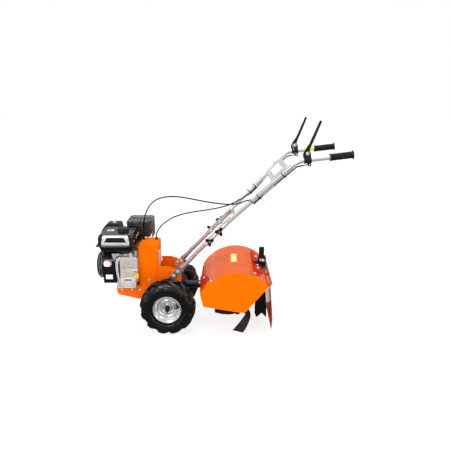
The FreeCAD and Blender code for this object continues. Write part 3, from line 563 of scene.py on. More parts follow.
# ------------------------------------------------------------------ rim detail
for side, body, nm in ((-1, wl, "left"), (1, wr, "right")):
    yc = side * 195.0
    ax = (0, side, 0)
    w = MB()
    w.torus((0, yc + side * 16.4, 165), ax, 20.5, 1.9, 48, 10)         # weld at the hub
    w.torus((0, yc + side * 6.2, 165), ax, 63.0, 1.7, 96, 10)          # weld at the disc rim
    obj("rim_%s_welds" % nm, w, m_weld, body)
    h = MB()
    # pressed stiffening bumps and a rolled bead on the flange
    h.torus((0, yc + side * 51.0, 165), ax, 82.6, 1.3, 120, 10)
    h.torus((0, yc - side * 51.0, 165), ax, 82.6, 1.3, 120, 10)
    for k in range(4):
        a = math.radians(45 + 90 * k)
        c = (40 * math.cos(a), yc + side * 19.0, 165 + 40 * math.sin(a))
        h.lathe(c, ax, [(0, 2.0), (2.8, 1.8), (4.2, 1.0), (4.6, -0.4), (0, -0.4)], 20)
    obj("rim_%s_flange_beads" % nm, h, m_rim, body)
    c = MB()
    # hub mouth: dark bore ring, axle end, cross pin with ring clip
    c.lathe((0, yc + side * 24, 165), ax, [(19.6, -6), (20.3, -5.4), (20.3, 0.4), (19.5, 1.2), (17.8, 1.2), (17.6, -1.0)], 48)
    obj("hub_%s_collar" % nm, c, m_rim, body, bevel=0.3)
    d = MB()
    d.lathe((0, yc + side * 25.0, 165), ax, [(0, 0.25), (15.2, 0.25), (16.6, -0.2), (17.4, -1.4), (17.4, -3), (0, -3)], 6, hint=(1, 0, 0))
    obj("hub_%s_bore_shadow" % nm, d, m_painted_shade_black, body)
    e = MB()
    e.bolt((0, yc + side * 25.1, 165), ax, 13, 4.5, washer=False, turn=15)
    tab = [(-13, 153), (11, 153), (9, 146), (2, 138), (-3, 133), (-8, 139), (-14, 146)]
    e.prism([(a_, b_ - 165) for a_, b_ in tab], (0, yc + side * 24.5, 165), (1, 0, 0), (0, 0, 1), 2.4 if side < 0 else -2.4)
    obj("hub_%s_bolt" % nm, e, m_dark, body)
    v = MB()
    # valve: rubber stem and ribbed cap over the rim's own stem
    p0 = Vector((51.6, yc + side * 10.5, 172.8))
    p1 = Vector((58.1, yc + side * 44.3, 174.1))
    dd = (p1 - p0).normalized()
    L_ = (p1 - p0).length
    v.lathe(p0, dd, [(0, 0), (8.2, 0), (8.2, 2.0), (6.4, 4.0), (5.0, 7.0), (4.7, L_ - 12), (4.3, L_ - 10), (4.3, L_ - 9.6), (4.8, L_ - 9.4),
                     (4.8, L_ - 1.2), (4.3, L_ + 0.6), (0, L_ + 0.6)], 24)
    for k in range(12):
        a = 2 * math.pi * k / 12
        u_, v_, _ = basis(dd)
        q = p0 + (u_ * math.cos(a) + v_ * math.sin(a)) * 4.7
        v.tube([q + dd * (L_ - 9), q + dd * (L_ - 1.5)], 0.55, 6)
    v.tube([(44, yc + side * 36, 165), (52, yc + side * 40, 169.5), (60, yc + side * 43, 174), (69, yc + side * 46.5, 178.5)], [3.6, 4.6, 5.0, 4.4], 16)
    obj("valve_stem_" + nm, v, m_plastic, body)

# --------------------------------------------------------------------- tines
OUT = [(40, 20), (60, 5), (76, -23), (80, -49), (71.5, -81), (56.5, -113), (34.5, -145.0)]
INN = [(22, 8), (26, -18), (41, -28), (47, -38), (32, -61), (9, -88), (-28, -130)]
YO = [0, 0, 0, 1.0, 6.0, 17.0, 29.0]


def tine(mb, bolts, fy, side, deg):
    K = 5
    out = catmull(OUT, K)
    inn = catmull(INN, K)
    yo = [p[0] for p in catmull([(y, 0) for y in YO], K)]
    n = len(out)
    W = 6
    a = math.radians(deg)
    ca, sa = math.cos(a), math.sin(a)

    def tr_(x, y, z):
        return (RX + x * ca + z * sa, y, RZ - x * sa + z * ca)
    top, bot = [], []
    vs = []
    base = fy + side * 4.0
    for i in range(n):
        th = interp([(0, 8.0), (0.6, 7.4), (1.0, 5.2)], i / (n - 1))
        r1, r2 = [], []
        for j in range(W + 1):
            t = j / W
            x = inn[i][0] + (out[i][0] - inn[i][0]) * t
            z = inn[i][1] + (out[i][1] - inn[i][1]) * t
            edge = min(t, 1 - t) * 2
            tt = th * (0.45 + 0.55 * min(1.0, edge * 2.2)) if i > 4 * K * 0.6 else th
            cup = 3.0 * (1 - (2 * t - 1) ** 2) * (i / (n - 1)) ** 2
            y = base + side * (yo[i] - cup)
            if i == n - 1:
                tt *= 0.35
            r1.append(len(vs))
            vs.append(tr_(x, y + side * (th - tt) / 2, z))
            r2.append(len(vs))
            vs.append(tr_(x, y + side * (th + tt) / 2, z))
        top.append(r2)
        bot.append(r1)
    fs = []
    for i in range(n - 1):
        for j in range(W):
            fs.append((top[i][j], top[i][j + 1], top[i + 1][j + 1], top[i + 1][j]))
            fs.append((bot[i][j], bot[i + 1][j], bot[i + 1][j + 1], bot[i][j + 1]))
        fs.append((top[i][0], top[i + 1][0], bot[i + 1][0], bot[i][0]))
        fs.append((top[i][W], bot[i][W], bot[i + 1][W], top[i + 1][W]))
    for i in (0, n - 1):
        for j in range(W):
            fs.append((top[i][j], top[i][j + 1], bot[i][j + 1], bot[i][j]))
    mb.add(vs, fs)
    for bx, bz in ((28, 8), (42, 6)):
        p = tr_(bx, base + side * 8.0, bz)
        bolts.bolt(p, (0, side, 0), 10, 5.5)
        q = tr_(bx, fy - side * 4.0, bz)
        bolts.nut(q, (0, -side, 0), 10, 5, 3)


for nm, ys in (("left", (-196.0, -92.0)), ("right", (92.0, 196.0))):
    mb, bl = MB(), MB()
    for fy in ys:
        outb = -1 if fy < 0 else 1
        for k in ((0, 2) if abs(fy) > 150 else (1, 3)):
            tine(mb, bl, fy, -outb if k == 3 else outb, 90 * k - (0 if abs(fy) > 150 else 11))
    obj("tine_blades_" + nm, mb, m_tine, tr, bevel=0.5, seg=2, angle=50, replaces=["tines_" + nm])
    obj("tine_bolts_" + nm, bl, m_bolt_yel, tr, bevel=0.25)

# ---------------------------------------------------------------- hood detail
def hood_at(deg, y, off=0.0):
    a = math.radians(deg)
    return Vector((HX0 + (HR + off) * math.cos(a), y, HZ0 + (HR + off) * math.sin(a)))


def hood_n(deg):
    a = math.radians(deg)
    return Vector((math.cos(a), 0, math.sin(a)))


def hood_patch(mb, a0, a1, y0, y1, off, th, r=3.0, n=14):
    """A thin sheet lying on the hood, with rounded corners."""
    L_ = math.radians(abs(a1 - a0)) * HR
    pts = rrect(0, L_, y0, y1, r, 4)
    k = len(pts)
    # grid of strips so that it follows the curve
    xs = sorted(set([0, r * 0.3, r] + [L_ * i / n for i in range(1, n)] + [L_ - r, L_ - r * 0.3, L_]))

    def yr(x):
        d = min(x, L_ - x)
        c = r - math.sqrt(max(0.0, r * r - (r - d) ** 2)) if d < r else 0.0
        return y0 + c, y1 - c
    vs, fs = [], []
    for x in xs:
        a = a0 + (a1 - a0) * x / L_
        ya, yb = yr(x)
        vs += [hood_at(a, ya, off), hood_at(a, yb, off), hood_at(a, yb, off + th), hood_at(a, ya, off + th)]
    m = len(xs)
    for i in range(m - 1):
        A = [4 * i + q for q in range(4)]
        B = [4 * (i + 1) + q for q in range(4)]
        for q in range(4):
            fs.append((A[q], A[(q + 1) % 4], B[(q + 1) % 4], B[q]))
    fs.append((0, 1, 2, 3))
    fs.append(tuple(4 * (m - 1) + q for q in (3, 2, 1, 0)))
    mb.add(vs, fs)


lab = MB()
hood_patch(lab, 98.4, 89.8, -62, 92, 0.05, 0.35)
obj("hood_label_blank", lab, m_sticker, ch)
lab = MB()
hood_patch(lab, 97.4, 90.8, -54, 84, 0.38, 0.2, 2.0)
obj("hood_label_inner_blank", lab, m_sticker2, ch)

hb = MB()


def ang_of(x):
    return math.degrees(math.acos(max(-1, min(1, (x - HX0) / HR))))


for x, y, off in ((509, -217, 4.0), (532, -110, 8.5), (532, -56, 10.0), (533, 104, 8.5)):
    a = ang_of(x)
    hb.bolt(hood_at(a, y, off if abs(y) < 60 else 4.0 if abs(y) > 170 else 10.0), hood_n(a), 10, 4.5, flange=True)
for y in (-76,):
    hb.bolt(hood_at(144.3, y, 4.0), hood_n(144.3), 10, 4.5, flange=True)
for y in (-240, 240):
    hb.bolt(hood_at(129, y, 0.0), hood_n(129), 8, 3.6, flange=True)
obj("hood_bolts", hb, m_bolt, ch, bevel=0.25)

# rolled edge beads on the hood: a seam strip along both side plates
sm = MB()
for sg in (-1, 1):
    path = [hood_at(152.0 - (152.0 - 43.2) * k / 60, sg * 266.4, 0.2) for k in range(61)]
    sm.tube(path, 1.3, 8)
obj("hood_seams", sm, m_orange_side, ch)

# -------------------------------------------------------------- stake hardware
sb = MB()
sb.bolt((571, -17, 388), (0, -1, 0), 13, 7)
sb.bolt((571, 17, 388), (0, 1, 0), 13, 7)
obj("stake_clamp_bolts", sb, m_bolt, ch, bevel=0.25)
pn = MB()
# locking pin through the sleeve with its hair clip
pn.tube([(557, -27, 398), (557, 25, 398)], 3.6, 16)
pn.lathe((557, -27, 398), (0, -1, 0), [(0, 3), (5.4, 3), (6.2, 2.2), (6.2, 0.4), (5.6, -0.2), (0, -0.2)], 24)
clip = [(557, 22, 405), (557, 22, 398), (560, 22, 390), (566, 23, 384), (572, 23, 386), (573, 23, 393), (568, 23, 397), (561, 23, 399), (553, 23, 404)]
pn.tube(catmull(clip, 5), 1.3, 8)
obj("stake_locking_pin", pn, m_bolt, ch)

# ----------------------------------------------------------------- rear flap
rib = MB()
# two pressed stiffening ribs across the lower part of the flap, on its outer face
def flap_x(z):
    return interp([(34, 613.5), (107, 615.5), (322, 600.0)], z)


for z0, hw_ in ((150, 225), (240, 225)):
    prof = [(-6, 0), (-4.5, 1.6), (-2, 2.6), (2, 2.6), (4.5, 1.6), (6, 0), (6, -0.8), (-6, -0.8)]
    vs, fs = [], []
    st = [(-hw_, 0.05), (-hw_ + 8, 0.7), (-hw_ + 16, 1.0), (hw_ - 16, 1.0), (hw_ - 8, 0.7), (hw_, 0.05)]
    for y, s_ in st:
        for dz, dx in prof:
            vs.append((flap_x(z0 + dz * s_) + (dx * s_ if dx > 0 else dx), y, z0 + dz * s_))
    k = len(prof)
    for i in range(len(st) - 1):
        for q in range(k):
            fs.append((i * k + q, i * k + (q + 1) % k, (i + 1) * k + (q + 1) % k, (i + 1) * k + q))
    fs.append(tuple(range(k))[::-1])
    fs.append(tuple((len(st) - 1) * k + q for q in range(k)))
    rib.add(vs, fs)
obj("flap_pressed_ribs", rib, m_flap, fl, bevel=0.4)
hc = MB()
for sg in (-1, 1):
    hc.lathe((604, sg * 256, 326), (0, sg, 0), [(0, 3.4), (4.4, 3.2), (6.6, 2.2), (7.0, 0.4), (6.6, -0.4), (0, -0.4)], 24)
obj("hinge_rod_caps", hc, m_bolt, ch)

# --------------------------------------------------------- gearbox and plates
du = Vector((1, 0, 1.035)).normalized()
dn = Vector((-du.z, 0, du.x))
o29 = Vector((29, 0, 549 + (29 - 249) * 1.035))
gb = MB()
for sg in (-1, 1):
    for s_, af in ((0, 13), (37, 13)):
        p = o29 + du * s_
        gb.bolt((p.x, sg * 107, p.z), (0, sg, 0), af, 7, turn=20)
        gb.nut((p.x, sg * 96, p.z), (0, -sg, 0), af, 6, 3)
    gb.bolt((-6, sg * 100, 262), (0, sg, 0), 10, 5)
for x, z in ((-86, 338), (33, 338)):
    gb.nut((x, 96, z), (0, -1, 0), 12, 6, 3)
    gb.bolt((x, 100, z), (0, 1, 0), 12, 6)
obj("gearbox_plate_bolts", gb, m_bolt, ch, bevel=0.3)
gc = MB()
for sg in (-1, 1):
    poly = arc_pts(0, 165, 58, 200, 340, 20) + [(58, 232), (46, 244), (-46, 244), (-58, 232)]
    gc.prism([(a, b) for a, b in poly], (0, sg * 62, 0), (1, 0, 0), (0, 0, 1), -6 * sg)
obj("gearbox_side_covers", gc, m_cast, ch, bevel=1.2)
gd = MB()
for sg in (-1, 1):
    for x, z in ((-48, 233), (0, 236), (48, 233), (-50, 165), (50, 165), (-34, 122), (34, 122)):
        gd.bolt((x, sg * 68, z), (0, sg, 0), 8, 4.5, flange=True, washer=False)
gd.bolt((-30, -10, 300), (0, 0, 1), 13, 6)
gd.bolt((93 - 1, 0, 150), (1, 0, 0), 13, 6)
for y, z in ((-34, 200), (34, 200), (-34, 256), (34, 256)):
    gd.bolt((92, y, z), (1, 0, 0), 10, 5)
obj("gearbox_case_bolts", gd, m_dark, ch, bevel=0.25)
ax_ = MB()
for sg in (-1, 1):
    ax_.lathe((0, sg * 86, 165), (0, sg, 0), [(26, -18), (26, 8), (24, 11), (20, 12.5), (17.6, 12.5)], 40)
    for k in range(4):
        a = math.radians(45 + 90 * k)
        ax_.bolt((21 * math.cos(a), sg * 97, 165 + 21 * math.sin(a)), (0, sg, 0), 6, 3, washer=False)
obj("axle_bearing_bosses", ax_, m_cast, ch, bevel=0.4)
fr = MB()
for y, z in ((-42, 196), (42, 196), (-42, 252), (42, 252)):
    fr.bolt((184, y, z), (-1, 0, 0), 10, 5)
obj("drive_tube_flange_bolts", fr, m_bolt, ch, bevel=0.25)
tcm = MB()
for sg in (-1, 1):
    for k in range(6):
        a = math.radians(30 + 60 * k)
        tcm.bolt((RX + 46 * math.cos(a), sg * 44, RZ + 46 * math.sin(a)), (0, sg, 0), 8, 4, flange=True, washer=False)
obj("tine_case_bolts", tcm, m_dark, ch, bevel=0.25)

# ------------------------------------------------------------------- engine
eg = MB()
# crankcase side: crowned cover with cast ribs, crescent flange beside the fan housing, bosses
eg.prism(round_poly([(-288, 318), (-204, 318), (-190, 338), (-186, 352), (-186, 440), (-194, 446), (-280, 446), (-288, 438)], [6, 10, 8, 8, 8, 6, 8, 8]), (0, -110, 0), (1, 0, 0), (0, 0, 1), 9.0)
eg.prism(round_poly([(-280, 326), (-212, 326), (-202, 344), (-202, 372), (-280, 372)], 7), (0, -119, 0), (1, 0, 0), (0, 0, 1), 4.0)
eg.prism(round_poly([(-280, 390), (-198, 390), (-198, 430), (-206, 437), (-280, 437)], 7), (0, -119, 0), (1, 0, 0), (0, 0, 1), 3.0)
for z, xa, xb in ((378, -287, -208), (384, -287, -214)):
    eg.prism(rrect(xa, xb, z, z + 3.0, 1.4, 3), (0, -118.5, 0), (1, 0, 0), (0, 0, 1), 5.0)
for k in range(5):
    z = 331 + 8.6 * k
    eg.prism(rrect(-275, -214 + (3 if k > 1 else 0), z, z + 3.0, 1.4, 3), (0, -122.6, 0), (1, 0, 0), (0, 0, 1), 2.4)
for k in range(6):
    x = -272 + 12.5 * k
    eg.prism(rrect(x, x + 4.0, 396, 431, 1.8, 3), (0, -121.6, 0), (1, 0, 0), (0, 0, 1), 2.6)
eg.tube([(-216, -124, 366.5), (-183, -124, 366.5)], 7.0, 20)
eg.tube([(-222, -108, 440), (-222, -108, 471)], 8.5, 20)
eg.tube([(-222, -108, 452), (-222, -108, 456)], 10.5, 20)
eg.lathe((-238, -116, 412), (0, -1, 0), [(0, 9), (7, 9), (9, 7), (10, 3), (10, 0), (0, 0)], 32)
obj("crankcase_cover", eg, m_alu, ch, bevel=1.1)
eh = MB()
eh.prism([(-309.5, 297), (-289, 297), (-286, 318), (-287, 440), (-296, 437), (-304, 424), (-309.5, 404)], (0, -110, 0), (1, 0, 0), (0, 0, 1), 0.6)
eh.prism([(-309, 437.5), (-184, 437.5), (-184, 447), (-309, 447)], (0, -108, 0), (1, 0, 0), (0, 0, 1), 1.0)
obj("crankcase_shadow_gap", eh, m_painted_shade_black, ch)
ec = MB()
out_ = [(-287.0, 448.1), (-303.8, 436.8), (-311.4, 418.3), (-313.5, 386.8), (-311.2, 352.2), (-307.1, 323.2), (-303.3, 301.3)]
in_ = [(-292.5, 301.3), (-295.0, 323.2), (-298.0, 352.2), (-299.2, 386.7), (-297.4, 411.0), (-289.5, 425.2), (-277.5, 436.2)]
ec.prism(catmull(out_, 5) + catmull(in_, 5), (0, -109, 0), (1, 0, 0), (0, 0, 1), 15.0)
obj("crankcase_crescent_flange", ec, m_alu_mach, ch, bevel=1.2)
yb = MB()
yb.prism(round_poly([(-336, 464), (-288, 464), (-289, 455), (-311, 438), (-316, 424), (-325, 428), (-332, 446)], 2.5), (0, -105, 0), (1, 0, 0), (0, 0, 1), 3.0)
yb.tube([(-268, -106, 457.4), (-226, -106, 457.4)], 2.6, 12)
yb.tube(catmull([(-288, -107, 461), (-274, -108, 452), (-262, -108, 450), (-250, -108, 455)], 5), 1.6, 10)
yb.lathe((-328, -108, 456), (0, -1, 0), [(0, 3), (4, 3), (5, 2), (5, 0), (0, 0)], 20)
obj("governor_bracket", yb, m_zincplate, ch, bevel=0.6)
eb = MB()
for x, z in ((-283, 322), (-284, 434), (-193, 356), (-196, 430), (-208, 424)):
    eb.bolt((x, -119, z), (0, -1, 0), 8, 4.5, washer=False, flange=True)
eb.bolt((-238, -125, 412), (0, -1, 0), 9, 4)
eb.bolt((-198, -118, 298), (0, -1, 0), 12, 6)
eb.bolt((-298, -113, 285), (0, -1, 0), 11, 6)
obj("crankcase_bolts", eb, m_bolt, ch, bevel=0.25)
ft = MB()
# foot: sloped bracket with a slot, gussets and mounting bolts into the base
ft.prism([(-110, 322), (-118, 319), (-130, 288), (-131, 262), (-131, 256.2), (-110, 256.2)], (-291, 0, 0), (0, 1, 0), (0, 0, 1), 94.0)
for x in (-290, -272, -214, -200):
    ft.prism([(-117, 322), (-122, 318), (-134, 288), (-134.5, 262), (-130, 262), (-117, 300)], (x, 0, 0), (0, 1, 0), (0, 0, 1), 3.6)
ft.prism(rrect(-306, -198, -137, -118, 3, 3), (0, 0, 256.2), (1, 0, 0), (0, 1, 0), 6.0)
obj("crankcase_foot", ft, m_alu, ch, bevel=1.0)
fs_ = MB()
d_ = Vector((0, -12, -31)).normalized()
n_ = Vector((0, d_.z, -d_.y))
# painted shade: a thin near-black patch stands in for the slot in the foot
fs_.prism(rrect(-264, -222, 14, 20, 3, 5), Vector((0, -118, 319)) + n_ * 0.1, (1, 0, 0), d_, 0.5 if Vector((1, 0, 0)).cross(d_).dot(n_) > 0 else -0.5)
obj("crankcase_foot_slot_painted_shade", fs_, m_painted_shade_black, ch)
fb2 = MB()
for x in (-301, -203):
    fb2.bolt((x, -127, 262.2), (0, 0, 1), 8, 5)
    fb2.bolt((x, 40, 291), (0, 0, 1), 12, 6)
obj("engine_mount_bolts", fb2, m_bolt, ch, bevel=0.25)
# cooling fins round the barrel and head
fi = MB()
for k in range(9):
    y = 58 + 11.5 * k
    z0 = 346 + 0.30 * (y - 40) * 0
    fi.prism(rrect(-299, -182, 352 + (y - 58) * 0.10, 470 + (y - 58) * 0.22, 8, 4), (0, y, 0), (1, 0, 0), (0, 0, 1), -3.0)
obj("cylinder_fins", fi, m_alu, ch, bevel=0.6)
vc = MB()
vc.prism(rrect(-286, -196, 392, 478, 12, 5), (0, 186, 0), (1, 0, 0), (0, 0, 1), -12.0)
vc.prism(rrect(-290, -192, 388, 482, 13, 5), (0, 178, 0), (1, 0, 0), (0, 0, 1), -4.0)
obj("rocker_cover", vc, m_alu, ch, bevel=2.0)
vb = MB()
for x, z in ((-284, 395), (-198, 395), (-284, 475), (-198, 475)):
    vb.bolt((x, 182, z), (0, 1, 0), 8, 4.5, washer=False, flange=True)
obj("rocker_cover_bolts", vb, m_bolt, ch, bevel=0.25)
sp = MB()
sp.lathe((-190, 150, 455), (0.75, 0.35, 0.35), [(0, 0), (8, 0), (8, 6), (6, 8), (6, 14), (9, 16), (9, 34), (7, 38), (0, 38)], 24)
obj("spark_plug_boot", sp, m_plastic, ch)
lead = MB()
lead.tube(catmull([(-164, 162, 467), (-156, 160, 478), (-160, 140, 490), (-200, 110, 478), (-260, 96, 462), (-312, 80, 452)], 8), 3.4, 12)
obj("spark_lead", lead, m_cable, ch)
# fan housing: seam lip, slots, switch, blank labels
fh = MB()
ol = [(-110, 282), (-110, 422), (-71, 462), (61, 462), (100, 421), (100, 299), (71, 270), (-95, 270)]
ro = round_poly(ol, [20, 38, 38, 38, 38, 32, 32, 18])
fh.prism(ro, (-316, 0, 0), (0, 1, 0), (0, 0, 1), 5.0)
ro2 = round_poly([(a * 1.0, b) for a, b in ol], [20, 38, 38, 38, 38, 32, 32, 18])
fh.prism(ro2, (-391.5, 0, 0), (0, 1, 0), (0, 0, 1), 4.0)
for k in range(4):
    x = -372 + 13 * k
    fh.prism(rrect(x, x + 4, 340, 368, 2, 3), (0, -108, 0), (1, 0, 0), (0, 0, 1), 2.0)
obj("fan_housing_lips", fh, m_black, ch, bevel=1.0)
fbz = MB()
for y, z in ((-98, 296), (-98, 400), (-66, 444), (56, 444), (88, 400), (88, 306)):
    fbz.bolt((-391.5, y, z), (-1, 0, 0), 8, 4, flange=True, washer=False)
obj("fan_housing_bolts", fbz, m_bolt, ch, bevel=0.25)
rc = MB()
C0 = (-5, 365)
# recoil cover: rolled rings with long windows between them, front slots, boss
rc.lathe((-425, C0[0], C0[1]), (1, 0, 0), [(81, -1), (83.6, -0.6), (85.4, 0.6), (85.8, 2.4), (85.4, 4.2), (83, 4.6)], 120, closed=True)
rc.lathe((-407, C0[0], C0[1]), (1, 0, 0), [(82, 0), (85.4, 0.4), (86.4, 1.6), (86.4, 4.4), (85.6, 5.6), (82, 6)], 120, closed=True)
rc.lathe((-397, C0[0], C0[1]), (1, 0, 0), [(82.5, 0), (86.6, 0.6), (88.6, 2.0), (88.6, 4.6), (82.5, 5.2)], 120, closed=True)
rv = MB()
rg = MB()
for k in range(8):
    a = 180.0 + 17.0 + 45.0 * k
    # painted shade: a near-black band fills each window opening
    rv.lathe((-414, C0[0], C0[1]), (1, 0, 0), [(82.5, -7.4), (84.3, -7.4), (84.6, 0), (84.9, 7.4), (82.5, 7.4)], 16, a0=a - 19.5, a1=a + 19.5, closed=True, hint=(0, 1, 0))
    for q in (-1, 1):
        b_ = math.radians(a + 22.5 * q)
        u_ = Vector((0, math.cos(b_), math.sin(b_)))
        t_ = Vector((0, -math.sin(b_), math.cos(b_)))
        if q > 0:
            rc.prism(rrect(-3.4, 3.4, -8.5, 8.5, 2.0, 4), Vector((-414, C0[0], C0[1])) + u_ * 82.4, t_, Vector((-1, 0, 0)), 3.2)
    rg.lathe((-414, C0[0], C0[1]), (1, 0, 0), [(83, -2.4), (85.1, -2.2), (85.4, 2.2), (83, 2.4)], 10, a0=a - 11, a1=a + 8, closed=True, hint=(0, 1, 0))
obj("recoil_rolled_rings", rc, m_black, ch, bevel=0.4)
obj("recoil_window_painted_shade", rv, m_painted_shade_black, ch)
# painted highlight: a thin grey tube round each recoil window stands in for the light catching its edges
re_ = MB()
for k in range(8):
    a = 180.0 + 17.0 + 45.0 * k
    path = []
    for x_, aa in [(-421.6, a - 19.5 + 39.0 * q / 8) for q in range(9)] + [(-406.4, a + 19.5 - 39.0 * q / 8) for q in range(9)]:
        t = math.radians(aa)
        path.append((x_, C0[0] + 84.9 * math.cos(t), C0[1] + 84.9 * math.sin(t)))
    path.append(path[0])
    re_.tube(path, 1.3, 6, cap=False)
obj("recoil_window_painted_highlight", re_, m_painted_edge_highlight, ch)
obj("recoil_pulley_glimpse", rg, m_dark, ch)
# painted shade: thin near-black patches stand in for the front slots
rs = MB()
for k in range(18):
    a = 2 * math.pi * k / 18
    c, s_ = math.cos(a), math.sin(a)
    u_ = Vector((0, c, s_))
    t_ = Vector((0, -s_, c))
    p = Vector((-442.85, C0[0], C0[1])) + u_ * 37.0
    rs.prism(rrect(-3.0, 3.0, -12, 12, 2.8, 4), p, u_, t_, -0.2)
obj("recoil_front_slot_painted_shade", rs, m_painted_shade_black, ch)
rk = MB()
rk.lathe((-443.0, C0[0], C0[1]), (-1, 0, 0), [(0, -0.2), (17, -0.2), (19, -0.4), (20, -2), (0, -2)], 48)
rk.lathe((-414, 55, 424), (0, 0.7, 0.71), [(0, 0), (7, 0), (8, 4), (8, 10), (5, 12), (0, 12)], 20)
rk.prism(rrect(-17, 17, 0, 12, 5.5, 5), (-420, 63, 432), (0, -0.71, 0.7), (0, 0.7, 0.71), 13.0)
obj("recoil_hub_and_handle", rk, m_plastic, ch, bevel=1.2)
sw = MB()
sw.prism(round_poly([(-386, 390), (-380, 384), (-350, 384), (-338, 394), (-338, 412), (-350, 422), (-374, 422), (-386, 412)], 4), (0, -108, 0), (1, 0, 0), (0, 0, 1), 5.0)
sw.lathe((-358, -113, 403), (0, -1, 0), [(0, 3), (12, 3), (14, 2), (14.5, 0), (14.5, -1), (0, -1)], 44)
obj("engine_switch_body", sw, m_white, ch, bevel=0.8)
sw = MB()
sw.lathe((-355, -113, 403), (0, -1, 0), [(13.6, -0.5), (17.6, -0.5), (17.8, 1.6), (16.6, 2.4), (14.4, 2.4), (13.4, 1.6)], 40, a0=-75, a1=105, closed=True, hint=(1, 0, 0))
sw.prism(rrect(-7, 7, -2.6, 2.6, 2, 3), (-358, -115.5, 403), (0.5, 0, 0.866), (-0.866, 0, 0.5), -3.4)
obj("engine_switch_knob", sw, m_red, ch, bevel=0.7)
lb = MB()
lb.prism(rrect(-379, -337, 303, 332, 3, 3), (0, -108.0, 0), (1, 0, 0), (0, 0, 1), 0.5)
obj("fan_housing_label_blank", lb, m_white, ch)
# tank: blank side panel, seam hem, strap, cap ribs
tl = MB()
def tank_y(z):
    return interp([(521, -141.0), (574, -137.0), (586, -127.0)], z)


zs_ = [525.5, 540, 556, 573, 576, 580, 583.5]
vs, fs = [], []
for z in zs_:
    f = (z - 525.5) / (583.5 - 525.5)
    xa, xb = -388 + 13 * f, -218 - 11 * f
    if z in (zs_[0], zs_[-1]):
        xa, xb = xa + 4, xb - 4
    for x, o_ in ((xa, 0.12), (xb, 0.12), (xb, 0.62), (xa, 0.62)):
        vs.append((x, tank_y(z) - o_, z + (o_ * 0.6 if z > 574 else 0)))
for i in range(len(zs_) - 1):
    for q in range(4):
        fs.append((4 * i + q, 4 * i + (q + 1) % 4, 4 * i + 4 + (q + 1) % 4, 4 * i + 4 + q))
fs += [(0, 1, 2, 3), tuple(4 * (len(zs_) - 1) + q for q in (3, 2, 1, 0))]
tl.add(vs, fs)
obj("tank_label_blank", tl, m_silverlabel, ch)
tl = MB()
vs, fs = [], []
zi_ = [543, 550, 560, 571]
for z in zi_:
    f = (z - 543) / 28.0
    xa, xb = -368 + 16 * f, -238 - 16 * f
    for x, o_ in ((xa, 0.5), (xb, 0.5), (xb, 0.8), (xa, 0.8)):
        vs.append((x, tank_y(z) - o_, z))
for i in range(len(zi_) - 1):
    for q in range(4):
        fs.append((4 * i + q, 4 * i + (q + 1) % 4, 4 * i + 4 + (q + 1) % 4, 4 * i + 4 + q))
fs += [(0, 1, 2, 3), tuple(4 * (len(zi_) - 1) + q for q in (3, 2, 1, 0))]
tl.add(vs, fs)
obj("tank_label_inset_blank", tl, m_black_gloss, ch)
th = MB()
hem = round_poly([(-417.5, -151.5), (-189.5, -151.5), (-189.5, 82), (-417.5, 82)], 15, 6)
hp = [(x, y, 521) for x, y in hem]
hp.append(hp[0])
th.tube(hp, 2.3, 8, cap=False)
obj("tank_seam_hem", th, m_black_gloss, ch)
tx = MB()
tx.prism(rrect(-371, -331, -44, -8, 3, 4), (0, 0, 586.05), (1, 0, 0), (0, 1, 0), 0.35)
obj("tank_top_label_blank", tx, m_white, ch)
tx = MB()
tx.prism(rrect(-366, -346, -38, -14, 2, 4), (0, 0, 586.42), (1, 0, 0), (0, 1, 0), 0.2)
obj("tank_top_label_patch", tx, m_pink, ch)
tx = MB()
tx.prism([(-34, 541), (60, 541), (62, 556), (-32, 556)], (-198.8, 0, 0), (0, 1, 0), (0, 0, 1), 0.5)
obj("tank_side_label_blank", tx, m_sticker_deep, ch)
tcap = MB()
tcap.lathe((-276, -28, 586), (0, 0, 1), [(0, 20.4), (12, 20.6), (25, 19.6), (30, 17.6), (32.6, 14), (33.0, 11), (33.0, 3), (31.6, 0.6), (0, 0.6)], 64)
for k in range(28):
    a = 2 * math.pi * k / 28
    tcap.tube([(-276 + 32.6 * math.cos(a), -28 + 32.6 * math.sin(a), 589.5), (-276 + 32.6 * math.cos(a), -28 + 32.6 * math.sin(a), 597)], 1.25, 8)
obj("fuel_cap_ribbed", tcap, m_greyplastic, ch, bevel=0.5, replaces=["fuel_cap"])
tr2 = MB()
tr2.torus((-276, -28, 586.4), (0, 0, 1), 38.5, 1.8, 56, 8)
tr2.lathe((-276, -28, 585.6), (0, 0, 1), [(32, 1.6), (37, 1.0), (40, -0.4), (32, -0.4)], 56, closed=True)
obj("fuel_neck_ring", tr2, m_black_gloss, ch)
ts = MB()
for x in (-388, -222):
    for y in (-148, 78):
        ts.bolt((x, y, 522.5), (0, 0, 1), 8, 4, washer=False, flange=True)
obj("tank_bolts", ts, m_dark, ch, bevel=0.25)
tb = MB()
for x in (-372, -240):
    tb.prism([(-70, 462), (-70, 482), (60, 482), (60, 462), (52, 462), (52, 476), (-62, 476), (-62, 462)], (x - 10, 0, 0), (0, 1, 0), (0, 0, 1), 20.0)
obj("tank_brackets", tb, m_black, ch, bevel=1.0)
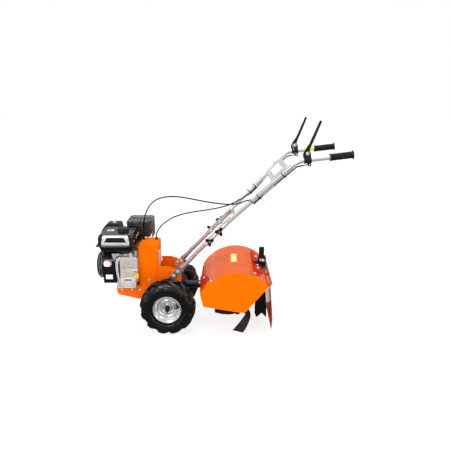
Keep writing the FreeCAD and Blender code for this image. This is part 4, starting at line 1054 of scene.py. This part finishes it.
# air cleaner lid
al = MB()
al.prism(rrect(-404, -329, 98, 184, 9, 5), (0, 0, 589.0), (1, 0, 0), (0, 1, 0), 3.2)
al.prism(rrect(-397, -335, 106, 176, 7, 5), (0, 0, 591.8), (1, 0, 0), (0, 1, 0), 2.4)
sl = Vector((34, 0, 44)).normalized()
sn = Vector((-sl.z, 0, sl.x))
for k in range(5):
    y = 102 + 17.5 * k
    al.prism(rrect(4, 46, 0, 8, 3, 4), Vector((-441, y, 546)) - sn * 0.6, sl, (0, 1, 0), -3.0 if sl.cross(Vector((0, 1, 0))).dot(sn) < 0 else 3.0)
for z in (520, 526):
    al.prism(round_poly([(-441.5, 90.5), (-316.5, 90.5), (-316.5, 191.5), (-441.5, 191.5)], 7, 4), (0, 0, z), (1, 0, 0), (0, 1, 0), 2.6)
for k in range(4):
    al.prism(rrect(-424 + 22 * k, -412 + 22 * k, 530, 543, 2, 3), (0, 92.2, 0), (1, 0, 0), (0, 0, 1), 2.2)
obj("air_cleaner_lid", al, m_greyplastic, ch, bevel=0.9)
aw = MB()
aw.lathe((-366, 141, 594), (0, 0, 1), [(0, 12), (5, 12), (7, 10), (8, 2), (11, 0), (0, 0)], 24)
aw.prism([(-17, 3), (-13, 11), (-6, 9), (6, 9), (13, 11), (17, 3), (10, 1), (-10, 1)], (-366, 143, 595), (1, 0, 0), (0, 0, 1), 4.0)
for y in (112, 170):
    aw.prism(rrect(y - 5, y + 5, 508, 538, 2, 3), (-440.6, 0, 0), (0, 1, 0), (0, 0, 1), -2.0)
obj("air_cleaner_wing_nut", aw, m_bolt, ch, bevel=0.6)
cb = MB()
cb.lathe((-318, 141, 440), (0, 0, -1), [(0, 26), (12, 26), (18, 22), (20, 16), (20, 4), (22, 2), (22, -2), (0, -2)], 36)
cb.lathe((-345, 141, 470), (-1, 0, 0), [(0, 3), (24, 3), (26, 1), (26, -3), (0, -3)], 36)
cb.lathe((-318, 110, 476), (0, -1, 0), [(0, 10), (4, 10), (5, 8), (5, 0), (0, 0)], 20)
obj("carburettor_bowl", cb, m_alu_mach, ch, bevel=0.5)
lk = MB()
lk.prism([(-326, 486), (-322, 492), (-296, 496), (-292, 490), (-312, 482)], (0, 101, 0), (1, 0, 0), (0, 0, 1), 2.0)
lk.tube(catmull([(-296, 100, 492), (-270, 88, 486), (-236, 74, 470), (-214, 60, 448)], 6), 1.2, 8)
for k in range(1):
    pts = []
    for i in range(90):
        a = i * 0.7
        pts.append((-300 + i * 0.8, 92 - i * 0.28 + 3.6 * math.cos(a), 478 - i * 0.2 + 3.6 * math.sin(a)))
    lk.tube(pts, 0.6, 6)
obj("governor_linkage", lk, m_bolt_yel, ch)
hs = MB()
hs.tube(catmull([(-300, 60, 484), (-300, 66, 470), (-306, 84, 452), (-318, 100, 446), (-318, 122, 440)], 8), 4.0, 12)
obj("fuel_hose", hs, m_cable, ch)
lv = MB()
lv.prism([(-214, 437), (-196, 437), (-190, 452), (-188, 500), (-194, 506), (-200, 500), (-206, 452)], (0, -84, 0), (1, 0, 0), (0, 0, 1), 3.0)
lv.prism(rrect(-304, -212, 437, 449, 4, 3), (0, -100, 0), (1, 0, 0), (0, 0, 1), -26.0)
obj("governor_plate", lv, m_alu, ch, bevel=0.8)
lvb = MB()
lvb.bolt((-290, -88, 449), (0, 0, 1), 8, 4, flange=True, washer=False)
lvb.bolt((-240, -88, 449), (0, 0, 1), 8, 4, flange=True, washer=False)
lvb.bolt((-196, -87, 480), (0, -1, 0), 8, 4)
obj("governor_bolts", lvb, m_bolt, ch, bevel=0.2)
kb = MB()
kb.lathe((-194, -94, 502), (0.2, -1, 0.15), [(0, 12), (5, 11), (7, 8), (7, 2), (5, 0), (0, 0)], 24)
kb.prism(round_poly([(-206, 480), (-186, 478), (-184, 512), (-204, 514)], 4, 3), (0, -92, 0), (1, 0, 0), (0, 0, 1), 5.0)
obj("throttle_knob", kb, m_red_dark, ch, bevel=0.8)
dk = MB()
dk.lathe((-190, -137, 331), (0, -1, 0), [(0, 1.6), (8, 1.6), (12.6, 0.2), (13.6, -2), (13.6, -11), (12.8, -13), (0, -13)], 40)
for k in range(10):
    a = 2 * math.pi * k / 10
    dk.lathe((-190 + 13.4 * math.cos(a), -135.5, 331 + 13.4 * math.sin(a)), (0, 1, 0), [(0, 0), (1.7, 0), (2.0, 0.6), (2.0, 9.6), (0, 9.8)], 10)
dk.prism([(-9, -2.2), (9, -2.2), (9, 2.2), (-9, 2.2)], (-190, -138.6, 331), (1, 0, 0), (0, 0, 1), 4.0)
obj("oil_cap_grip", dk, m_yellow, ch, bevel=0.5)
# muffler guard as a wire cage
def cage_surface(x0, x1, y0, y1, z0, z1, r, step):
    mb = MB()
    ring = round_poly([(x0, y0), (x1, y0), (x1, y1), (x0, y1)], r, 3)
    # resample the outline evenly
    per = []
    k = len(ring)
    for i in range(k):
        a, b = Vector(ring[i]), Vector(ring[(i + 1) % k])
        per.append((a, b, (b - a).length))
    tot = sum(p[2] for p in per)
    n = int(round(tot / step))
    pts = []
    for i in range(n):
        d = tot * i / n
        for a, b, l in per:
            if d <= l:
                pts.append(a + (b - a) * (d / l if l else 0))
                break
            d -= l
    cx, cy = (x0 + x1) / 2, (y0 + y1) / 2
    levels = []
    zz = z0
    while zz < z1 - r:
        levels.append((zz, 0.0))
        zz += step
    for q in range(3):
        t = math.radians(90 * q / 2)
        levels.append((z1 - r + r * math.sin(t), r * (1 - math.cos(t))))
    vs, fs = [], []
    for z, ins in levels:
        for p in pts:
            f = 1.0
            dx, dy = p.x - cx, p.y - cy
            sx = (abs(dx) - ins) / abs(dx) if abs(dx) > ins else 0
            sy = (abs(dy) - ins) / abs(dy) if abs(dy) > ins else 0
            hx, hy = (x1 - x0) / 2, (y1 - y0) / 2
            vs.append((cx + dx * (hx - ins) / hx, cy + dy * (hy - ins) / hy, z))
    m = len(levels)
    for i in range(m - 1):
        for j in range(n):
            fs.append((i * n + j, i * n + (j + 1) % n, (i + 1) * n + (j + 1) % n, (i + 1) * n + j))
    mb.add(vs, fs)
    # top grid
    gx = int(round((x1 - x0 - 2 * r) / step))
    gy = int(round((y1 - y0 - 2 * r) / step))
    vs, fs = [], []
    for i in range(gx + 1):
        for j in range(gy + 1):
            vs.append((x0 + r + (x1 - x0 - 2 * r) * i / gx, y0 + r + (y1 - y0 - 2 * r) * j / gy, z1))
    for i in range(gx):
        for j in range(gy):
            fs.append((i * (gy + 1) + j, (i + 1) * (gy + 1) + j, (i + 1) * (gy + 1) + j + 1, i * (gy + 1) + j + 1))
    mb.add(vs, fs)
    return mb


cage = obj("muffler_guard_mesh", cage_surface(-278.2, -120.8, 84.8, 237.2, 500, 618.2, 12, 12.6), m_mesh, ch, replaces=["muffler_guard"])
wf = cage.modifiers.new("wire", "WIREFRAME")
wf.thickness = 0.0027
wf.use_boundary = True
wf.use_even_offset = False
cf = MB()
for z in (500.5,):
    ring = round_poly([(-277.5, 86), (-122, 86), (-122, 236.5), (-277.5, 236.5)], 11, 4)
    pts = [(x, y, z) for x, y in ring]
    pts.append(pts[0])
    cf.tube(pts, 1.9, 8, cap=False)
ring = round_poly([(-274, 89), (-125, 89), (-125, 233), (-274, 233)], 11, 4)
pts = [(x, y, 614.5) for x, y in ring]
pts.append(pts[0])
cf.tube(pts, 1.7, 8, cap=False)
obj("muffler_guard_frame", cf, m_mesh, ch)
mu = MB()
# muffler body: seam, outlet and inlet pipe
mh = [(y, z) for y, z in round_poly([(93, 524), (93, 605), (227, 605), (227, 524)], 23, 6)]
pts = [(-200, y, z) for y, z in mh]
pts.append(pts[0])
mu.tube(pts, 2.0, 8, cap=False)
mu.tube(catmull([(-200, 168, 478), (-200, 170, 498), (-200, 166, 520), (-200, 162, 534)], 6), 11, 20)
mu.tube([(-140, 160, 585), (-127.5, 160, 585)], 8.5, 20)
obj("muffler_pipework", mu, m_muffler, ch)
hsd = MB()
# painted shade: a near-black box filling the cage round the muffler stands in for the shaded interior
hsd.prism(round_poly([(-271, 96), (-134, 96), (-134, 228), (-271, 228)], 12, 5), (0, 0, 508), (1, 0, 0), (0, 1, 0), 97.0)
obj("muffler_cage_painted_shade_box", hsd, m_painted_shade_black, ch, bevel=6.0)

# ----------------------------------------------------------- belt guard detail
bg = MB()
for x, z in ((-124, 284), (-168, 474), (-168, 268)):
    for sg in (-1, 1):
        if (x, z) == (-168, 268) or (x, z) == (-168, 474):
            continue
        bg.bolt((x, sg * 80, z), (0, sg, 0), 9, 4.5, turn=10)
for y, z in ((-62, 300), (62, 300), (-62, 470), (62, 470)):
    bg.bolt((-65, y, z), (1, 0, 0), 8, 4, flange=True, washer=False)
obj("belt_guard_bolts", bg, m_bolt, ch, bevel=0.25)
bl = MB()
bl.prism(rrect(-42, 42, 360, 452, 5, 4), (-65, 0, 0), (0, 1, 0), (0, 0, 1), 0.6)
obj("belt_guard_label_blank", bl, m_white, ch)
bs = MB()
for sg in (-1, 1):
    bs.prism([(-178, 257), (-178, 500), (-174, 505), (-73, 505), (-69, 500), (-69, 257), (-73, 257), (-73, 499), (-75, 501), (-172, 501), (-174, 498), (-174, 257)],
             (0, sg * 80, 0), (1, 0, 0), (0, 0, 1), 0.9 * (1 if sg < 0 else -1))
obj("belt_guard_folded_hem", bs, m_orange_side, ch, bevel=0.3)
gr = MB()
for gx in (-166, -88):
    gr.lathe((gx, 45, 509), (0, 0, 1), [(3.1, 13), (5.6, 13), (6.4, 11.5), (6.8, 7), (9.6, 6.2), (10.4, 4.6), (10.4, 1.4), (9.4, 0), (3.1, 0)], 32, closed=True)
obj("cable_grommets", gr, m_plastic, ch)
eb2 = MB()
for sg in (-1, 1):
    for x, z in ((-150, 212), (-104, 226)):
        eb2.bolt((x, sg * 97, z), (0, sg, 0), 10, 5)
obj("engine_base_bolts", eb2, m_bolt, ch, bevel=0.25)

# ------------------------------------------------------------------- handles
def low_y(x):
    return 112.5 - (x - 60) * 0.0703


def handle_z(x):
    return 549 + (x - 249) * 1.035


U1 = Vector((350, -(low_y(350) + 25.5), handle_z(350)))
U2 = Vector((730.5, -236.0, 1029.5))
U3 = Vector((1018, -228.5, 1062.8))


def up_run(x, side):
    f = (x - U1.x) / (U2.x - U1.x)
    p = U1 + (U2 - U1) * f
    return Vector((p.x, p.y * (1 if side < 0 else -1), p.z))


def grip_run(x, side):
    f = (x - U2.x) / (U3.x - U2.x)
    p = U2 + (U3 - U2) * f
    return Vector((p.x, p.y * (1 if side < 0 else -1), p.z))


def under(x, side, below, inner):
    p = up_run(x, side) + Vector((0.7193, 0, -0.6947)) * below
    return Vector((p.x, side * (abs(p.y) - inner), p.z))


# three-lobed knobs with studs
def knob(mb, studs, x, side, turn):
    z = handle_z(x)
    yo = (low_y(x) + 25.5 + 12.7) * side
    n = 72
    poly = []
    for k in range(n):
        t = 2 * math.pi * k / n
        r = 12.0 + 16.0 * (0.5 + 0.5 * math.cos(3 * (t - math.radians(turn)))) ** 1.25
        poly.append((r * math.cos(t), r * math.sin(t)))
    o = Vector((x, yo + side * 3.5, z))
    mb.prism(poly, o, (1, 0, 0), (0, 0, 1), 12.0 if side < 0 else -12.0)
    mb.lathe((x, yo, z), (0, side, 0), [(0, 4), (9, 4), (9.5, 0.5), (9.0, -0.2), (0, -0.2)], 28)
    mb.lathe((x, yo + side * 15.0, z), (0, side, 0), [(0, 1.0), (5.5, 1.0), (7.5, 2.2), (8.8, 1.8), (9.4, 0), (0, -0.5)], 28)
    studs.lathe((x, yo + side * 14.5, z), (0, side, 0), [(0, 3.6), (3.4, 3.6), (4.0, 3.0), (4.0, 0), (0, 0)], 20)
    yi = (low_y(x) - 12.7) * side
    studs.nut((x, yi, z), (0, -side, 0), 13, 6, 3)


for side, nm, turns in ((-1, "left", (150 - 60, 30 + 150)), (1, "right", (90, 180))):
    kb_, st_ = MB(), MB()
    # near side: lower knob has lobes up-left, up-right and down; upper one left, up-right, down-right
    knob(kb_, st_, 249.2, side, 270)
    knob(kb_, st_, 306.8, side, 180)
    obj("star_knob_heads_" + nm, kb_, m_plastic, ch, bevel=1.8, seg=3, replaces=["star_knobs_" + nm])
    obj("star_knob_studs_" + nm, st_, m_bolt, ch, bevel=0.25)

# ribbed rubber grips
for side, nm in ((-1, "left"), (1, "right")):
    a = grip_run(903.5, side)
    b = grip_run(1030.5, side)
    d = (b - a).normalized()
    L_ = (b - a).length
    prof = [(12.8, 0.2), (16.0, 0.0), (19.2, 0.8), (20.2, 2.4), (20.2, 6.0), (19.0, 8.0)]
    h = 9.5
    while h < L_ - 13:
        prof += [(17.3, h), (17.3, h + 1.0), (18.6, h + 1.7), (18.9, h + 2.4), (18.6, h + 3.2)]
        h += 4.3
    prof += [(18.2, L_ - 9), (20.5, L_ - 6.5), (23.0, L_ - 5), (23.4, L_ - 3), (22.8, L_ - 0.8), (20.5, L_), (6, L_), (5, L_ - 1.5), (0, L_ - 1.5)]
    g = MB()
    g.lathe(a, d, prof, 56)
    obj("grip_ribbed_" + nm, g, m_grip, ch, angle=60, replaces=["grip_" + nm])

# straps, sleeves and cable adjusters
def strap(mb, c, ax, nd, R1, R2, D, w, th):
    ax = Vector(ax).normalized()
    nd = Vector(nd)
    nd = (nd - ax * nd.dot(ax)).normalized()
    td = ax.cross(nd)
    ph = math.acos((R1 - R2) / D)
    ring = []
    for k in range(25):
        a = ph + (2 * math.pi - 2 * ph) * k / 24
        ring.append((math.cos(a), math.sin(a), R1, 0.0))
    for k in range(9):
        a = -ph + 2 * ph * k / 8
        ring.append((math.cos(a), math.sin(a), R2, D))
    n = len(ring)
    vs, fs = [], []
    for off, r_ in ((-w / 2, 0), (w / 2, 0), (w / 2, th), (-w / 2, th)):
        for ca, sa, R, dd in ring:
            vs.append(Vector(c) + ax * off + nd * (dd + (R + r_) * ca) + td * ((R + r_) * sa))
    for q in range(4):
        for k in range(n):
            fs.append((q * n + k, q * n + (k + 1) % n, ((q + 1) % 4) * n + (k + 1) % n, ((q + 1) % 4) * n + k))
    mb.add(vs, fs)


zt = MB()
ad = MB()
for side in (-1, 1):
    runs = {-1: ((492, 526), (540, 598)), 1: ((490, 524), (566, 600))}[side]
    dirn = (up_run(700, side) - up_run(400, side)).normalized()
    for x in (runs[0][0], runs[0][1], 655):
        c = up_run(x, side)
        u_ = under(x, side, 17.9, 4.0)
        nd = u_ - c
        nd = nd - dirn * nd.dot(dirn)
        strap(zt, c, dirn, nd, 13.1, 3.6, nd.length, 4.2, 1.2)
        # lock head and tail
        hd = c + nd.normalized() * (nd.length + 4.6)
        v_ = dirn.cross(nd.normalized())
        zt.prism(rrect(-3.2, 3.2, -3.2, 3.2, 1, 2), hd - dirn * 3, nd.normalized(), v_, 6.0)
    x = runs[0][1]
    c = up_run(x, side) + Vector((0.7193, 0, -0.6947)) * 20
    zt.prism([(0, -2.2), (0, 2.2), (34, 1.6), (34, -1.6)], c, Vector((0.78, 0, -0.62)), Vector((0, 1, 0)), 1.2)
    # sleeve wrapped over the cable between the straps
    zt.tube([under(runs[0][0] + 2, side, 17.9, 6.5), under(runs[0][1] - 2, side, 17.8, 4.2)], 5.2, 16)
    p0, p1 = under(runs[1][0], side, 17.9, 3.8), under(runs[1][1], side, 17.6, 3.0)
    dd = (p1 - p0).normalized()
    l_ = (p1 - p0).length
    ad.lathe(p0, dd, [(3.1, 0), (4.4, 0), (5.0, 1.0), (5.0, 8), (4.2, 9), (4.2, 13), (6.0, 14), (6.0, 20), (4.6, 21), (4.6, l_ - 8), (5.4, l_ - 7), (5.4, l_ - 1), (4.4, l_), (3.1, l_)], 20)
obj("cable_ties", zt, m_plastic, ch, bevel=0.25)
obj("cable_adjusters", ad, m_zincplate, ch)

# console plate: rivets and a blank label
un = (U2 - U1)
slope = Vector((un.x, 0, un.z)).normalized()
nrm = Vector((-slope.z, 0, slope.x))
con = frame["nodes"]["console_plate"]
tops = []
for v in con.data.vertices:
    q = v.co
    w_ = Vector((q.x * 1000 + OX, 0, q.z * 1000))
    tops.append((w_.dot(nrm), w_.dot(slope), abs(q.y * 1000)))
dtop = max(t[0] for t in tops)
s0 = min(t[1] for t in tops)
s1 = max(t[1] for t in tops)
cl = MB()
smid = (s0 + s1) / 2
cl.prism([(a, b) for a, b in rrect(-33, 33, -112, 112, 5, 4)], slope * smid + nrm * (dtop - 0.1), slope, Vector((0, -1, 0)) * -1, 0.7)
obj("console_label_blank", cl, m_white, ch)
cr = MB()
for a in (-52, 52):
    for y in (-170, -60, 60, 170):
        p = slope * (smid + a) + nrm * dtop + Vector((0, y, 0))
        cr.lathe(p, nrm, [(0, 2.2), (2.2, 2.0), (3.8, 1.2), (4.6, 0), (0, -0.3)], 20)
obj("console_rivets", cr, m_bolt, ch)

# lever pivots, cable ends, bands
lp = MB()
ls = MB()
for side in (-1, 1):
    y = grip_run(780, side).y
    s_ = side
    lp.bolt((781, y + s_ * 9, 1072), (0, s_, 0), 10, 5)
    lp.nut((781, y - s_ * 9, 1072), (0, -s_, 0), 10, 5, 2)
    ls.torus((797, y, 1010.5), (0, 1, 0), 7.0, 2.2, 32, 10)
    # bent hook spring from the lever to the eye
    ls.tube(catmull([(772, y - s_ * 11.5, 1082), (768, y - s_ * 13.5, 1066), (774, y - s_ * 14.5, 1046), (786, y - s_ * 14, 1026), (797, y - s_ * 8, 1017)], 6), 1.7, 10)
    ls.lathe((783, y, 1009.6), (-1, 0, -0.12), [(0, -4), (3.6, -4), (4.6, -3), (4.6, 6), (3.8, 7), (3.8, 20), (3.2, 21), (0, 21)], 20)
obj("lever_pivot_bolts", lp, m_bolt, ch, bevel=0.25)
obj("lever_cable_hooks", ls, m_zinc, ch)
lr = MB()
# rubber coat with ribs on the long arm of each lever
for side in (-1, 1):
    y = grip_run(780, side).y
    p0 = Vector((806, y, 1128))
    p1 = Vector((846, y, 1240))
    d = (p1 - p0).normalized()
    nn = Vector((-d.z, 0, d.x))
    l_ = (p1 - p0).length
    wd = [(0, 4.6), (l_, 4.3)]
    k = 0
    s = 4.0
    while s < l_ - 4:
        c = p0 + d * s
        lr.prism(rrect(-5.3, 5.3, -5.9, 5.9, 2.2, 3), c - d * 1.1, nn, Vector((0, 1, 0)), 2.2)
        s += 6.4
obj("lever_arm_ribs", lr, m_plastic, ch, bevel=0.5)
bd = MB()
for x0, x1 in ((838, 862), (880, 898)):
    a, b = grip_run(x0, 1), grip_run(x1, 1)
    d = (b - a).normalized()
    l_ = (b - a).length
    bd.lathe(a, d, [(12.7, 0), (13.4, 0.3), (13.6, 1), (13.6, l_ - 1), (13.4, l_ - 0.3), (12.7, l_)], 40)
obj("handle_band_lime", bd, m_lime, ch)

# ------------------------------------------------------------ stage and lights
fm = bpy.data.materials.new("pale_floor")
fm.use_nodes = True
fb_ = fm.node_tree.nodes["Principled BSDF"]
fb_.inputs["Base Color"].default_value = (0.30, 0.30, 0.30, 1)
fb_.inputs["Roughness"].default_value = 0.9
fb_.inputs["Specular IOR Level"].default_value = 0.1
fb_.inputs["Emission Color"].default_value = (1, 1, 1, 1)
fb_.inputs["Emission Strength"].default_value = 0.80
me = bpy.data.meshes.new("floor")
me.from_pydata([(-30, -30, 0), (30, -30, 0), (30, 30, 0), (-30, 30, 0)], [], [(0, 1, 2, 3)])
floor = bpy.data.objects.new("floor", me)
me.materials.append(fm)
bpy.context.scene.collection.objects.link(floor)
floor.visible_glossy = False

sc = bpy.context.scene
w = bpy.data.worlds.new("studio")
sc.world = w
w.use_nodes = True
nt = w.node_tree
nt.nodes.clear()
out = nt.nodes.new("ShaderNodeOutputWorld")
mixs = nt.nodes.new("ShaderNodeMixShader")
bg_cam = nt.nodes.new("ShaderNodeBackground")
bg_env = nt.nodes.new("ShaderNodeBackground")
lp_ = nt.nodes.new("ShaderNodeLightPath")
bg_dif = nt.nodes.new("ShaderNodeBackground")
mixg = nt.nodes.new("ShaderNodeMixShader")
bg_cam.inputs["Color"].default_value = (1, 1, 1, 1)
bg_cam.inputs["Strength"].default_value = 1.0
bg_dif.inputs["Color"].default_value = (1, 1, 1, 1)
bg_dif.inputs["Strength"].default_value = 0.78
tcw = nt.nodes.new("ShaderNodeTexCoord")
sep = nt.nodes.new("ShaderNodeSeparateXYZ")
mr = nt.nodes.new("ShaderNodeMapRange")
mr.inputs["From Min"].default_value = -1.0
mr.inputs["From Max"].default_value = 1.0
rampw = nt.nodes.new("ShaderNodeValToRGB")
el = rampw.color_ramp.elements
el[0].position = 0.0
el[0].color = (0.10, 0.10, 0.10, 1)
el[1].position = 1.0
el[1].color = (0.30, 0.30, 0.30, 1)
for p_, c_ in ((0.30, 0.07), (0.40, 0.20), (0.485, 0.45), (0.53, 0.70), (0.60, 0.40), (0.67, 0.52), (0.74, 0.25), (0.84, 0.85), (0.93, 0.60)):
    e_ = el.new(p_)
    e_.color = (c_, c_, c_, 1)
nt.links.new(tcw.outputs["Generated"], sep.inputs[0])
nt.links.new(sep.outputs["Z"], mr.inputs["Value"])
nt.links.new(mr.outputs[0], rampw.inputs["Fac"])
nt.links.new(rampw.outputs["Color"], bg_env.inputs["Color"])
bg_env.inputs["Strength"].default_value = 1.0
nt.links.new(lp_.outputs["Is Glossy Ray"], mixg.inputs[0])
nt.links.new(bg_dif.outputs[0], mixg.inputs[1])
nt.links.new(bg_env.outputs[0], mixg.inputs[2])
nt.links.new(lp_.outputs["Is Camera Ray"], mixs.inputs[0])
nt.links.new(mixg.outputs[0], mixs.inputs[1])
nt.links.new(bg_cam.outputs[0], mixs.inputs[2])
nt.links.new(mixs.outputs[0], out.inputs["Surface"])


def area(name, loc, target, size, power, glossy=True, diffuse=True):
    l = bpy.data.lights.new(name, "AREA")
    l.shape = "RECTANGLE"
    l.size, l.size_y = size
    l.energy = power
    o = bpy.data.objects.new(name, l)
    o.location = loc
    o.rotation_euler = (Vector(target) - Vector(loc)).to_track_quat("-Z", "Y").to_euler()
    o.visible_glossy = glossy
    o.visible_diffuse = diffuse
    o.visible_camera = False
    sc.collection.objects.link(o)


area("key", (-1.4, -2.6, 2.4), (0, 0, 0.35), (1.4, 1.4), 36)
area("fill", (2.0, -2.2, 1.4), (0.1, 0, 0.4), (0.5, 1.8), 10)
area("top", (0.1, 0.4, 3.2), (0, 0, 0.4), (2.6, 1.6), 36, True)
area("flap_card", (0.26, 0.66, 0.01), (0.26, 0.66, 1.0), (0.9, 0.9), 1.5, True, False)
area("back", (0.0, 3.0, 1.9), (0, 0, 0.5), (3.0, 1.4), 16, False)

cam = bpy.data.cameras.new("camera")
cam.sensor_width = 36.0
cam.lens = 38.09
co = bpy.data.objects.new("camera", cam)
co.location = (0.03303, -2.80326, 1.36009)
co.rotation_euler = (math.radians(75.05), 0.0, math.radians(-0.23))
sc.collection.objects.link(co)
sc.camera = co
sc.view_settings.view_transform = "Standard"
sc.view_settings.look = "None"
